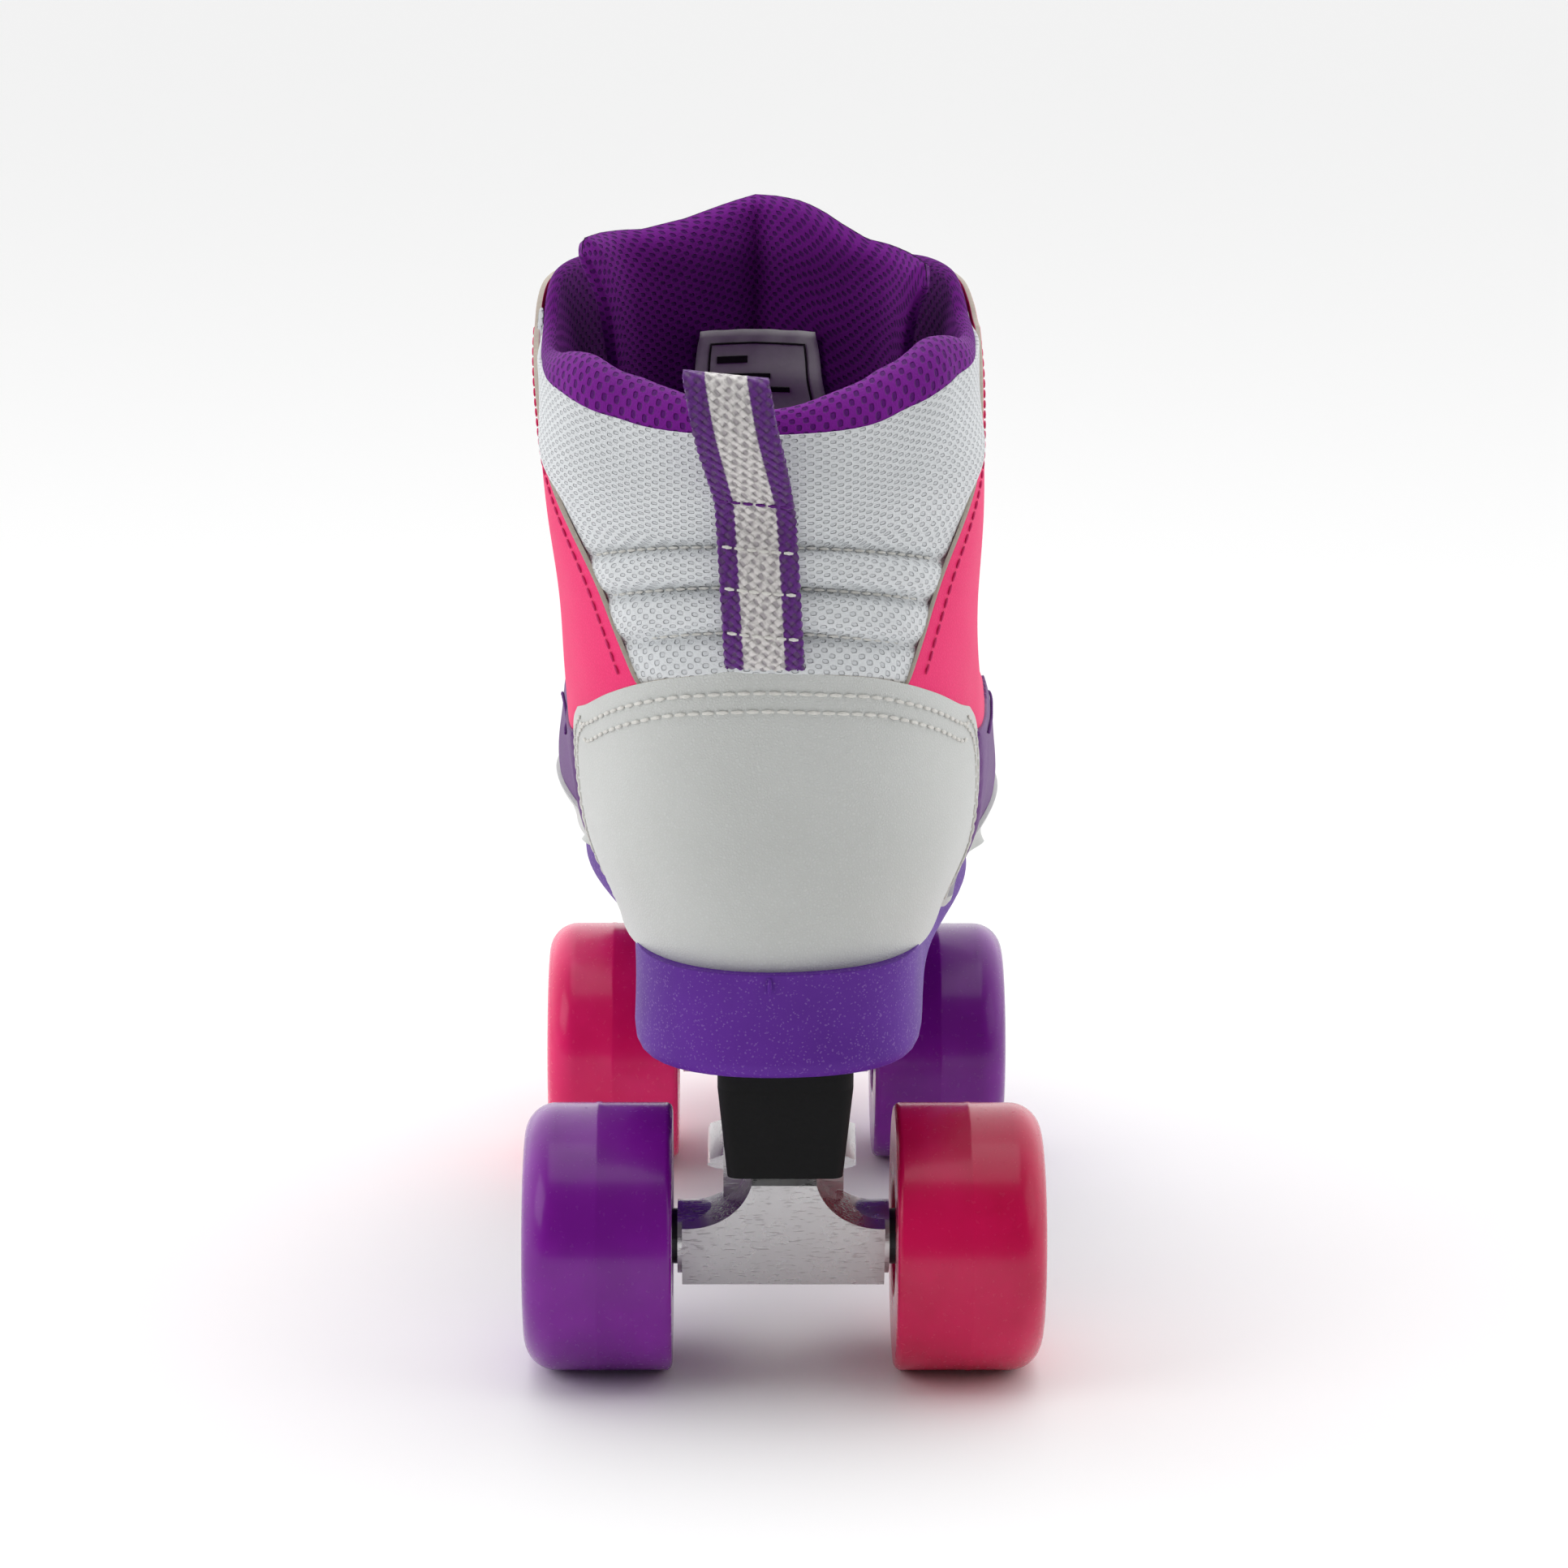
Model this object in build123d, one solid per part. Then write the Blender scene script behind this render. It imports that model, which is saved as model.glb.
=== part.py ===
from build123d import *
import math
import os

# Quad roller skate for the right foot, millimetres.
# +Z is up and the floor is Z = 0.  +Y points to the toe, +X to the outer side of the foot.
# The origin is on the floor, under the middle of the boot's length.

# ---- overall sizes ------------------------------------------------------------------------
boot_length = 264.0          # heel to toe
boot_half_width = 51.8       # at the ball of the foot
boot_height = 171.0          # underside of the sole to the top of the tongue
wheelbase = 150.0
heel_to_axle = 38.0          # back of the heel to the rear axle
deck_above_axle = 46.0       # axle centre to the underside of the sole

# ---- wheels and bearings ------------------------------------------------------------------
wheel_diameter = 58.0
wheel_width = 32.0
wheel_inner_face = 24.0      # distance from the skate's centre line
tyre_outer_round = 7.0
tyre_inner_round = 1.5
hub_wall = 2.0
hub_recess = 1.0             # hub ends inside the tyre's inner face
key_height = 4.0             # ring that locks the hub into the tyre
key_width = 8.0
dish_depth = 6.0             # hollow in the tyre's outer face
dish_widening = 5.0
bearing_bore = 8.0
bearing_outer_diameter = 22.0
bearing_width = 7.0
bearing_inset = 2.0          # inner bearing behind the tyre's inner face
bearing_gap = 8.0            # between the two bearings of a wheel
race_wall = 2.1
ball_diameter = 3.97
ball_count = 7
groove_clearance = 0.12
shield_thickness = 0.4
shield_clearance = 0.3
spacer_wall = 1.5

# ---- trucks -------------------------------------------------------------------------------
boss_radius = 8.0
boss_half_length = 22.9
axle_end_beyond_nut = 1.0
washer_radius = 6.0
nut_across_flats = 13.0
nut_height = 6.5
pivot_back = 18.0            # pivot behind the axle, on the pivot side of the truck
pivot_rise = 32.0            # pivot above the axle
ring_ahead = 26.0            # cushion ring ahead of the axle
ring_rise = 12.0
ring_radius = 16.5
ring_bore_radius = 7.5
ring_thickness = 8.0
pivot_pin_radius = 4.5
pivot_cup_wall = 2.0
pivot_cup_length = 11.0
pivot_fit = 0.05
kingpin_radius = 4.0
cushion_radius = 13.0
cushion_upper_height = 11.0
cushion_lower_height = 9.0
cushion_lower_end_radius = 9.5
retainer_thickness = 1.5
kingpin_head_height = 5.0
web_thickness = 7.0
web_waist_half_width = 7.0   # where the web meets the arm to the ring
web_waist_rise = 18.0        # waist above the axle
web_hollow_x = 11.5          # deepest place of the web's hollow side
web_hollow_rise = 10.5
web_face_thickness = 5.0     # flat face behind the axle boss
web_face_drop = 7.3          # face below the axle
web_overlap = 12.0           # web carried up the steering line, past the pivot pin's foot
rib_offset = 8.0             # ribs behind the web, from the middle
rib_width = 5.0
pivot_pin_length = 14.0

# ---- chassis plate ------------------------------------------------------------------------
plate_thickness = 4.0
plate_heel_half_width = 14.3
plate_ball_half_width = 22.0
rib_height = 8.0
rib_thickness = 3.5
rib_spread = 9.0
block_top_half_width = 14.3
block_bottom_half_width = 12.2
block_length = 17.0
block_below_pivot = 9.5
block_round = 2.5
kingpin_boss_radius = 12.0
screw_radius = 2.5
screw_head_radius = 4.5
screw_head_height = 2.5
screw_spread = 7.5
screw_rows = (-2.0, 14.0)    # along the truck, from its axle

# ---- toe stop -----------------------------------------------------------------------------
stop_ahead = 36.0            # boss ahead of the front axle
stop_tilt = 25.0
stop_boss_radius = 11.0
stop_boss_length = 24.0
stop_stem_radius = 5.0
stop_pad_radius = 16.0
stop_pad_neck_radius = 13.0
stop_pad_height = 21.0
stop_nut_height = 7.0
stop_washer_thickness = 2.0
stop_washer_radius = 10.0
stop_head_radius = 7.0
stop_head_height = 4.0
stop_head_recess = 3.0

# ---- boot ---------------------------------------------------------------------------------
heel_sole_thickness = 23.0
ball_sole_thickness = 12.0
sole_edge_round = 3.0
upper_thickness = 1.8
lining_thickness = 3.2       # in the foot
collar_padding = 8.5         # lining at the padded collar
board_thickness = 2.0
footbed_thickness = 4.0
tongue_thickness = 6.0
tongue_gap = 0.3
throat_bottom_half_width = 12.0
throat_top_half_width = 19.0
eyestay_width = 15.0
eyelet_rows = 7
eyelet_flange_radius = 4.2
eyelet_bore_radius = 2.2
eyelet_barrel_radius = 3.0
eyelet_flange_thickness = 0.9
lace_radius = 1.4
lace_clearance = 0.5        # from the eyelets to the lace
loop_width = 16.5
loop_thickness = 1.5
loop_gap = 6.0
loop_lean = -8.0             # the loop's top leans towards the inner side

# Shape of the last.  Each row is a height above the sole's underside, then: back, front,
# sideways shift, and half-widths at five stations from the heel to the toe.
LAST = (
    (5.0, -121.0, 121.0, -1.0, 21.0, 27.0, 30.0, 44.0, 32.0),
    (23.0, -129.0, 131.5, -1.5, 25.0, 32.5, 39.5, 51.8, 39.0),
    (37.0, -131.5, 130.5, -1.5, 27.5, 38.0, 45.5, 51.3, 38.0),
    (51.0, -132.0, 116.0, -1.8, 28.0, 39.5, 47.0, 49.5, 34.0),
    (65.0, -131.5, 82.0, -2.3, 27.0, 39.0, 46.0, 45.5, 31.0),
    (77.0, -130.5, 58.0, -2.8, 25.5, 38.5, 45.5, 43.5, 30.0),
    (93.0, -129.0, 33.0, -3.4, 24.0, 38.0, 46.0, 43.5, 30.0),
    (111.0, -126.5, 14.0, -4.2, 23.0, 39.5, 47.5, 44.5, 30.0),
    (129.0, -124.0, 2.0, -5.2, 22.0, 39.5, 48.0, 45.5, 31.0),
    (145.0, -122.5, -5.0, -6.0, 21.5, 39.5, 48.5, 46.5, 32.0),
    (165.0, -122.0, -9.0, -6.8, 21.5, 39.5, 49.0, 47.5, 33.0),
    (180.0, -122.0, -11.0, -7.2, 21.5, 39.5, 49.0, 47.5, 33.0),
)
STATIONS = (0.05, 0.16, 0.40, 0.68, 0.90)
SWING = (0.0, 0.5, 3.0, 1.8, -2.0)       # the foot's curve, seen from above
TOE_SWING = -4.0
SOLE_HALF_WIDTHS = (26.0, 31.0, 33.5, 46.0, 34.0)
SOLE_BACK, SOLE_FRONT, SOLE_SHIFT = -130.5, 127.5, -1.6
LAST_LENGTH, LAST_HALF_WIDTH, LAST_HEIGHT = 264.0, 51.8, 171.0

# ---- derived ------------------------------------------------------------------------------
along = boot_length / LAST_LENGTH
across = boot_half_width / LAST_HALF_WIDTH
upward = boot_height / LAST_HEIGHT
axle_z = wheel_diameter / 2
deck_z = axle_z + deck_above_axle
rear_axle_y = -boot_length / 2 + heel_to_axle
front_axle_y = rear_axle_y + wheelbase
axle_radius = bearing_bore / 2
bearing_radius = bearing_outer_diameter / 2
hub_radius = bearing_radius + hub_wall
inner_bearing_x = wheel_inner_face + bearing_inset
outer_bearing_x = inner_bearing_x + bearing_width + bearing_gap
nut_x = outer_bearing_x + bearing_width
axle_half_length = nut_x + nut_height + axle_end_beyond_nut
wheel_outer_face = wheel_inner_face + wheel_width
pivot = Vector(0, -pivot_back, axle_z + pivot_rise)
ring_centre = Vector(0, ring_ahead, axle_z + ring_rise)
steer_axis = (ring_centre - pivot).normalized()
kingpin_axis = Vector(0, -steer_axis.Z, steer_axis.Y)
plate_bottom_z = deck_z - plate_thickness

parts = {}


def add(name, *shapes):
    """Put the solids of the shapes into a named part."""
    solids = [solid for shape in shapes for solid in shape.solids()]
    parts[name] = solids[0] if len(solids) == 1 else Compound(children=solids)


def rod(start, direction, length, radius, far_radius=None):
    """A round rod, or a cone, from a start point along a direction."""
    plane = Plane(origin=start, z_dir=direction)
    if far_radius is None:
        shape = Cylinder(radius, length, align=(Align.CENTER, Align.CENTER, Align.MIN))
    else:
        shape = Cone(radius, far_radius, length, align=(Align.CENTER, Align.CENTER, Align.MIN))
    return plane * shape


def cross_rod(x_start, x_end, radius):
    """A round rod along X at axle height."""
    return rod((x_start, 0, axle_z), (1, 0, 0), x_end - x_start, radius)


def hexagon_rod(start, direction, length, across_flats):
    plane = Plane(origin=start, z_dir=direction)
    return plane * extrude(RegularPolygon(across_flats / 2, 6, major_radius=False), length)


def turned(profile):
    """A solid turned about the axle from (x, radius) points of its section."""
    outline = Polyline(*[(x, 0, axle_z + radius) for x, radius in profile], close=True)
    return revolve(make_face(outline), Axis((0, 0, axle_z), (1, 0, 0)), 360)


def mirrored(shape):
    return mirror(shape, about=Plane.YZ)


# ---- wheels: built for the +X side --------------------------------------------------------
def make_hub():
    x_start = wheel_inner_face + hub_recess
    x_end = nut_x + hub_recess
    key_centre = (x_start + x_end) / 2
    body = cross_rod(x_start, x_end, hub_radius)
    body += cross_rod(key_centre - key_width / 2, key_centre + key_width / 2, hub_radius + key_height)
    body -= cross_rod(x_start, inner_bearing_x + bearing_width, bearing_radius)
    body -= cross_rod(outer_bearing_x, x_end, bearing_radius)
    return body - cross_rod(x_start, x_end, bearing_radius - race_wall / 2)


def make_tyre(hub):
    profile = [(wheel_inner_face, 0), (wheel_outer_face, 0),
               (wheel_outer_face, wheel_diameter / 2), (wheel_inner_face, wheel_diameter / 2)]
    tyre = turned(profile)
    rim_edges = tyre.edges().filter_by(GeomType.CIRCLE).sort_by(Axis.X)
    tyre = fillet(rim_edges[-1], tyre_outer_round)
    rim_edges = tyre.edges().filter_by(GeomType.CIRCLE).sort_by(Axis.X)
    tyre = fillet(rim_edges[0], tyre_inner_round)
    tyre -= rod((wheel_outer_face - dish_depth, 0, axle_z), (1, 0, 0), dish_depth,
                hub_radius, hub_radius + dish_widening)
    tyre -= cross_rod(wheel_inner_face, wheel_outer_face, hub_radius)
    return tyre - hub


def make_ball_ring(x_centre, radius):
    pitch = (axle_radius + bearing_radius) / 2 + 0.25
    balls = []
    for k in range(ball_count):
        angle = 2 * math.pi * k / ball_count
        centre = (x_centre, pitch * math.cos(angle), axle_z + pitch * math.sin(angle))
        balls.append(Pos(*centre) * Sphere(radius))
    return balls, pitch


def make_groove(x_centre, pitch, radius):
    return Plane(origin=(x_centre, 0, axle_z), z_dir=(1, 0, 0)) * Torus(pitch, radius)


def make_bearing(x_start):
    """Outer race, balls and shields, and apart from them the inner race."""
    x_end = x_start + bearing_width
    x_centre = (x_start + x_end) / 2
    balls, pitch = make_ball_ring(x_centre, ball_diameter / 2)
    inner_radius = axle_radius + race_wall
    outer_bore = bearing_radius - race_wall + 0.5
    outer = cross_rod(x_start, x_end, bearing_radius) - cross_rod(x_start, x_end, outer_bore)
    outer -= make_groove(x_centre, pitch, ball_diameter / 2)
    inner = cross_rod(x_start, x_end, inner_radius) - cross_rod(x_start, x_end, axle_radius)
    inner -= make_groove(x_centre, pitch, ball_diameter / 2 + groove_clearance)
    shields = []
    for x in (x_start + 0.2, x_end - 0.2 - shield_thickness):
        shield = cross_rod(x, x + shield_thickness, outer_bore)
        shields.append(shield - cross_rod(x, x + shield_thickness, inner_radius + shield_clearance))
    return [outer, *balls, *shields], inner


# ---- truck: built about its own axle, pivot towards -Y ------------------------------------
def make_hanger():
    """Axle boss, hollow-sided web, arm with the cushion ring, ribs and pivot pin, cast in one piece."""
    shaft = cross_rod(-boss_half_length, boss_half_length, boss_radius)
    web_top = pivot + steer_axis * web_overlap
    foot, shoulder = boss_half_length - 1.0, axle_z + boss_radius - 1.0
    waist, waist_z = web_waist_half_width, axle_z + web_waist_rise
    hollow_z = axle_z + web_hollow_rise
    left = ThreePointArc((-waist, 0, waist_z), (-web_hollow_x, 0, hollow_z), (-foot, 0, shoulder))
    right = ThreePointArc((foot, 0, shoulder), (web_hollow_x, 0, hollow_z), (waist, 0, waist_z))
    base = Polyline((-foot, 0, shoulder), (-foot, 0, axle_z), (foot, 0, axle_z), (foot, 0, shoulder))
    low_z = axle_z - web_face_drop
    low = Polyline((-foot, 0, shoulder), (-foot, 0, low_z), (foot, 0, low_z), (foot, 0, shoulder))
    brow = Line((waist, 0, waist_z), (-waist, 0, waist_z))
    plate = extrude(make_face(low + right + brow + left), web_face_thickness, dir=(0, 1, 0))
    plate = plate.moved(Location((0, -boss_radius, 0)))
    neck = Polyline((waist, 0, waist_z), (waist, 0, web_top.Z), (-waist, 0, web_top.Z), (-waist, 0, waist_z))
    web = extrude(make_face(base + right + neck + left), web_thickness / 2, dir=(0, 1, 0), both=True)
    lean = math.degrees(math.atan2(-web_top.Y, web_top.Z - axle_z))
    web = (web + plate).rotate(Axis((0, 0, axle_z), (1, 0, 0)), lean)
    ring_plane = Plane(origin=ring_centre, x_dir=(1, 0, 0), z_dir=kingpin_axis)
    reach = (ring_centre - web_top).length
    arm_outline = Polyline((-waist, -reach), (waist, -reach), (ring_radius - 0.5, -ring_radius * 0.55),
                           (ring_radius - 0.5, 0), (-ring_radius + 0.5, 0),
                           (-ring_radius + 0.5, -ring_radius * 0.55), close=True)
    arm = ring_plane * extrude(make_face(arm_outline), ring_thickness / 2, both=True)
    ring = rod(ring_centre - kingpin_axis * ring_thickness / 2, kingpin_axis, ring_thickness, ring_radius)
    rib_outline = Polyline((0, 1.0, axle_z + 1), (0, 6.0, axle_z + 3), (0, 11.0, axle_z + 16),
                           (0, -6.0, axle_z + 22), close=True)
    ribs = [extrude(make_face(rib_outline).moved(Location((x, 0, 0))), rib_width, dir=(1, 0, 0))
            for x in (-rib_offset - rib_width, rib_offset)]
    pin = rod(pivot, steer_axis, pivot_pin_length, pivot_pin_radius)
    pin += Pos(*pivot) * Sphere(pivot_pin_radius)
    body = shaft + web + arm + ring + pin
    for rib in ribs:
        body += rib
    body -= rod(ring_centre - kingpin_axis * ring_thickness, kingpin_axis, 2 * ring_thickness,
                ring_bore_radius)
    return body - cross_rod(-boss_half_length, boss_half_length, axle_radius)


def washer(start, direction, thickness, radius, bore):
    return rod(start, direction, thickness, radius) - rod(start, direction, thickness, bore)


def make_kingpin_set():
    """Kingpin, nut, cushions and retainers, from the plate down to the kingpin's end."""
    upper_start = ring_centre + kingpin_axis * ring_thickness / 2
    upper_end = upper_start + kingpin_axis * cushion_upper_height
    lower_start = ring_centre - kingpin_axis * ring_thickness / 2
    lower_end = lower_start - kingpin_axis * cushion_lower_height
    nut_start = lower_end - kingpin_axis * retainer_thickness
    pin_end = nut_start - kingpin_axis * (nut_height + 2.0)
    head_z = plate_bottom_z - 1.0
    head_end = ring_centre + kingpin_axis * ((head_z - ring_centre.Z) / kingpin_axis.Z)
    head_start = head_end - kingpin_axis * kingpin_head_height
    kingpin = rod(pin_end, kingpin_axis, (head_start - pin_end).length, kingpin_radius)
    kingpin += hexagon_rod(head_start, kingpin_axis, kingpin_head_height, nut_across_flats)
    cushion_upper = rod(upper_start, kingpin_axis, cushion_upper_height, cushion_radius)
    cushion_upper -= rod(upper_start, kingpin_axis, cushion_upper_height, kingpin_radius)
    cushion_lower = rod(lower_start, -kingpin_axis, cushion_lower_height, cushion_radius - 0.5,
                        cushion_lower_end_radius)
    cushion_lower -= rod(lower_start, -kingpin_axis, cushion_lower_height, kingpin_radius)
    retainers = [washer(upper_end, kingpin_axis, retainer_thickness, cushion_radius, kingpin_radius),
                 washer(nut_start, kingpin_axis, retainer_thickness, cushion_lower_end_radius,
                        kingpin_radius)]
    nut = hexagon_rod(nut_start, -kingpin_axis, nut_height, nut_across_flats)
    nut -= rod(nut_start, -kingpin_axis, nut_height, kingpin_radius)
    return kingpin, nut, cushion_upper, cushion_lower, retainers


def make_pivot_cup():
    mouth = pivot + steer_axis * 6.0
    cup = rod(mouth, -steer_axis, pivot_cup_length, pivot_pin_radius + pivot_cup_wall)
    hollow = rod(mouth, -steer_axis, (mouth - pivot).length, pivot_pin_radius + pivot_fit)
    return cup - hollow - Pos(*pivot) * Sphere(pivot_pin_radius + pivot_fit)


def make_block():
    """Pedestal that holds the pivot, and the tilted boss that holds the kingpin."""
    front = pivot.Y + 6.0
    bottom_z = pivot.Z - block_below_pivot
    top = Plane.XY.offset(plate_bottom_z) * Pos(0, front - block_length / 2) * RectangleRounded(
        2 * block_top_half_width, block_length, block_round)
    bottom = Plane.XY.offset(bottom_z) * Pos(0, front - block_length / 2) * RectangleRounded(
        2 * block_bottom_half_width, block_length, block_round)
    block = loft([bottom, top])
    boss_start = ring_centre + kingpin_axis * (ring_thickness / 2 + cushion_upper_height
                                               + retainer_thickness)
    boss_length = (plate_bottom_z + 1.0 - boss_start.Z) / kingpin_axis.Z
    boss = rod(boss_start, kingpin_axis, boss_length + 4.0, kingpin_boss_radius)
    above_plate = Pos(0, 0, deck_z) * Box(100, 100, 40, align=(Align.CENTER, Align.CENTER, Align.MIN))
    return block + (boss - above_plate)


def place_rear(shape):
    return shape.moved(Location((0, rear_axle_y, 0)))


def place_front(shape):
    return shape.moved(Location((0, front_axle_y, 0), (0, 0, 180)))


# ---- boot ---------------------------------------------------------------------------------
def last_row(height):
    """The last's row at a height, by smooth interpolation between the table's rows."""
    heights = [row[0] for row in LAST]
    height = min(max(height, heights[0]), heights[-1])
    k = max(i for i in range(len(LAST) - 1) if heights[i] <= height)
    span = heights[k + 1] - heights[k]
    t = (height - heights[k]) / span
    before, after = max(k - 1, 0), min(k + 2, len(LAST) - 1)
    values = []
    for column in range(1, len(LAST[0])):
        low, high = LAST[k][column], LAST[k + 1][column]
        slope_low = (high - LAST[before][column]) / (heights[k + 1] - heights[before]) * span
        slope_high = (LAST[after][column] - low) / (heights[after] - heights[k]) * span
        values.append((2 * t**3 - 3 * t**2 + 1) * low + (t**3 - 2 * t**2 + t) * slope_low
                      + (3 * t**2 - 2 * t**3) * high + (t**3 - t**2) * slope_high)
    return values


def section_face(back, front, shift, half_widths, curve, z):
    """A closed foot outline at one height."""
    right, left = [], []
    for share, half_width, swing in zip(STATIONS, half_widths, SWING):
        y = back + share * (front - back)
        centre = (shift + swing * curve) * across
        right.append((centre + half_width, y, z))
        left.append((centre - half_width, y, z))
    heel = (shift * across, back, z)
    toe = ((shift + TOE_SWING * curve) * across, front, z)
    return Face(Wire([Spline(heel, *right, toe, *reversed(left), periodic=True)]))


def last_face(height, inset):
    back, front, shift, *half_widths = last_row(height)
    curve = max(0.0, min(1.0, (75 - height) / 50))
    half_widths = [width * across - inset for width in half_widths]
    return section_face(back * along + inset, front * along - inset, shift, half_widths, curve,
                        deck_z + height * upward)


def collar_inset(height):
    """Depth of the inner surface: thin in the foot, thick at the padded collar."""
    share = max(0.0, min(1.0, (height - 70) / 50))
    return upper_thickness + lining_thickness + (collar_padding - lining_thickness) * share


LOFT_HEIGHTS = (5, 11, 17, 23, 30, 37, 44, 51, 58, 65, 77, 93, 111, 129, 145, 165, 180)


def last_body(inset_at, lowest=0):
    return loft([last_face(height, inset_at(height)) for height in LOFT_HEIGHTS if height >= lowest])


def side_prism(points):
    """A prism across the boot from (y, height) points of its side view."""
    outline = Polyline(*[(-90, y * along, deck_z + height * upward) for y, height in points],
                       close=True)
    return extrude(make_face(outline), 180, dir=(1, 0, 0))


def front_prism(points, y_start, y_end):
    """A prism along the boot from (x, height) points of its front view."""
    outline = Polyline(*[(x * across, y_start * along, deck_z + height * upward)
                         for x, height in points], close=True)
    return extrude(make_face(outline), (y_end - y_start) * along, dir=(0, 1, 0))


def sole_top_prism(offset, thickness):
    """A band that follows the top of the sole, from an offset above it."""
    top = [(-boot_length, heel_sole_thickness), (-75 * along, heel_sole_thickness),
           (40 * along, ball_sole_thickness), (boot_length, ball_sole_thickness)]
    lower = [(-90, y, deck_z + height + offset) for y, height in top]
    upper = [(-90, y, deck_z + height + offset + thickness) for y, height in reversed(top)]
    return extrude(make_face(Polyline(*lower, *upper, close=True)), 180, dir=(1, 0, 0))


def make_sole():
    half_widths = [width * across for width in SOLE_HALF_WIDTHS]
    face = section_face(SOLE_BACK * along, SOLE_FRONT * along, SOLE_SHIFT, half_widths, 1.0, deck_z)
    sole = extrude(face, heel_sole_thickness + 1, dir=(0, 0, 1))
    sole = fillet(sole.edges().group_by(Axis.Z)[0], sole_edge_round)
    sole -= sole_top_prism(0, 60)
    toe_spring = side_prism([(100, -1), (140, -1), (140, 8), (126, 5), (112, 1.5)])
    return sole - toe_spring


def throat_points(extra):
    """Front view of the opening between the eyestays."""
    low, high = throat_bottom_half_width + extra, throat_top_half_width + extra
    shift_low, shift_high = -3.5, -6.5
    return [(shift_low - low * 0.5, 70 - extra), (shift_low + low * 0.5, 70 - extra),
            (shift_low + low, 78 - extra), (shift_high + high, 185),
            (shift_high - high, 185), (shift_low - low, 78 - extra)]


def make_upper(outer, skin, inner):
    """Cut the outer shell into its panels, and the padded lining inside it."""
    throat = front_prism(throat_points(0), -45, 140)
    below = sole_top_prism(-60, 60)
    shell_top = side_prism([(-150, 134), (-118, 134), (-75, 140), (-57, 146), (-52, 150), (-46, 158),
                            (-30, 160), (-14, 157), (20, 150), (20, 200), (-150, 200)])
    lining_top = side_prism([(-150, 138), (-112, 138), (-75, 142.5), (-58, 147), (-50, 152),
                             (-44, 158), (-30, 160), (-14, 157), (20, 150), (20, 200), (-150, 200)])
    lining = skin - inner - throat - lining_top - sole_top_prism(-60, 60 + board_thickness)
    shell = outer - skin - throat - shell_top - below
    zones = {
        "heel_counter": side_prism([(-150, 88), (-131, 87), (-118, 83), (-100, 76), (-80, 68.5),
                                    (-70, 65), (-62, 57), (-56, 45), (-52, 30), (-50, 0), (-150, 0)]),
        "rand": side_prism([(-60, 0), (140, 0), (140, 23), (-60, 23)]),
        "toe_cap": side_prism([(84, 0), (92, 40), (84, 62), (84, 80), (140, 80), (140, 0)]),
        "side_panel": side_prism([(-70, 20), (-70, 58), (-20, 57), (25, 52), (58, 44), (72, 20)]),
        "back_panel": side_prism([(-150, 60), (-112, 60), (-110, 80), (-98, 96), (-84, 112),
                                  (-68, 129), (-56, 148), (-56, 200), (-150, 200)]),
    }
    for name, zone in zones.items():
        piece = shell & zone
        shell -= zone
        if name == "side_panel":
            add_pair(name, piece)
        else:
            add(name, piece)
    edging = front_prism(throat_points(eyestay_width), -45, 140)
    vamp_zone = side_prism([(44, 0), (44, 40), (56, 60), (62, 72), (66, 100), (140, 100), (140, 0)])
    add("vamp", shell & vamp_zone)
    shell -= vamp_zone
    eyestays = shell & edging
    add_pair("quarter", shell - edging)
    return lining, eyestays


def add_pair(name, shape):
    """Sort the solids of a shape into a left and a right part."""
    add(name + "_left", *[solid for solid in shape.solids() if solid.center().X < 0])
    add(name + "_right", *[solid for solid in shape.solids() if solid.center().X > 0])


def surface_spot(outer, x, height):
    """Point and outward direction where the boot's front meets a line along Y."""
    axis = Axis((x * across, -200, deck_z + height * upward), (0, 1, 0))
    hits = outer.find_intersection_points(axis)
    spot, normal = max(hits, key=lambda hit: hit[0].Y)
    return spot, normal if normal.Y > 0 else -normal


def eyelet_spot(outer, row, side, inward=0.0):
    height = 82 + 71 * row / (eyelet_rows - 1)
    share = (height - 78) / (185 - 78)
    half = throat_bottom_half_width + (throat_top_half_width - throat_bottom_half_width) * share
    shift = -3.5 - 3.0 * share
    return surface_spot(outer, shift + side * (half + eyestay_width / 2 - inward), height)


def lace_strand(outer, row, side):
    """One strand of the lace, from an eyelet up and across to the next one on the other side."""
    lift = eyelet_flange_thickness + lace_radius + lace_clearance
    edge = eyelet_spot(outer, row + 0.2, side, eyestay_width / 2)
    far_edge = eyelet_spot(outer, row + 0.8, -side, eyestay_width / 2)
    spots = [eyelet_spot(outer, row + 0.13, side), edge, far_edge,
             eyelet_spot(outer, row + 0.87, -side)]
    points = [spot + normal * lift for spot, normal in spots]
    crossing = (points[1] + points[2]) / 2 + edge[1] * side * lace_radius * 1.25
    return lace_tube(points[:2] + [crossing] + points[2:])


def lace_bar(outer):
    """The lowest stretch of the lace, straight across between the first two eyelets."""
    lift = eyelet_flange_thickness + lace_radius + lace_clearance
    spots = [eyelet_spot(outer, -0.13, side, inward) for side, inward in
             ((-1, 0.0), (-1, eyestay_width / 2), (1, eyestay_width / 2), (1, 0.0))]
    return lace_tube([spot + normal * lift for spot, normal in spots])


def lace_tube(points):
    path = FilletPolyline(*points, radius=bend_radii(points))
    return sweep(Plane(origin=path @ 0, z_dir=path % 0) * Circle(lace_radius), path=path)


def bend_radii(route):
    """The widest bend that the two runs at each corner leave room for."""
    radii = []
    for before, corner, after in zip(route, route[1:], route[2:]):
        run = min((corner - before).length, (after - corner).length)
        turn = math.radians((corner - before).get_angle(after - corner))
        radii.append(min(20.0, 0.45 * run / math.tan(turn / 2)))
    return radii


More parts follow.
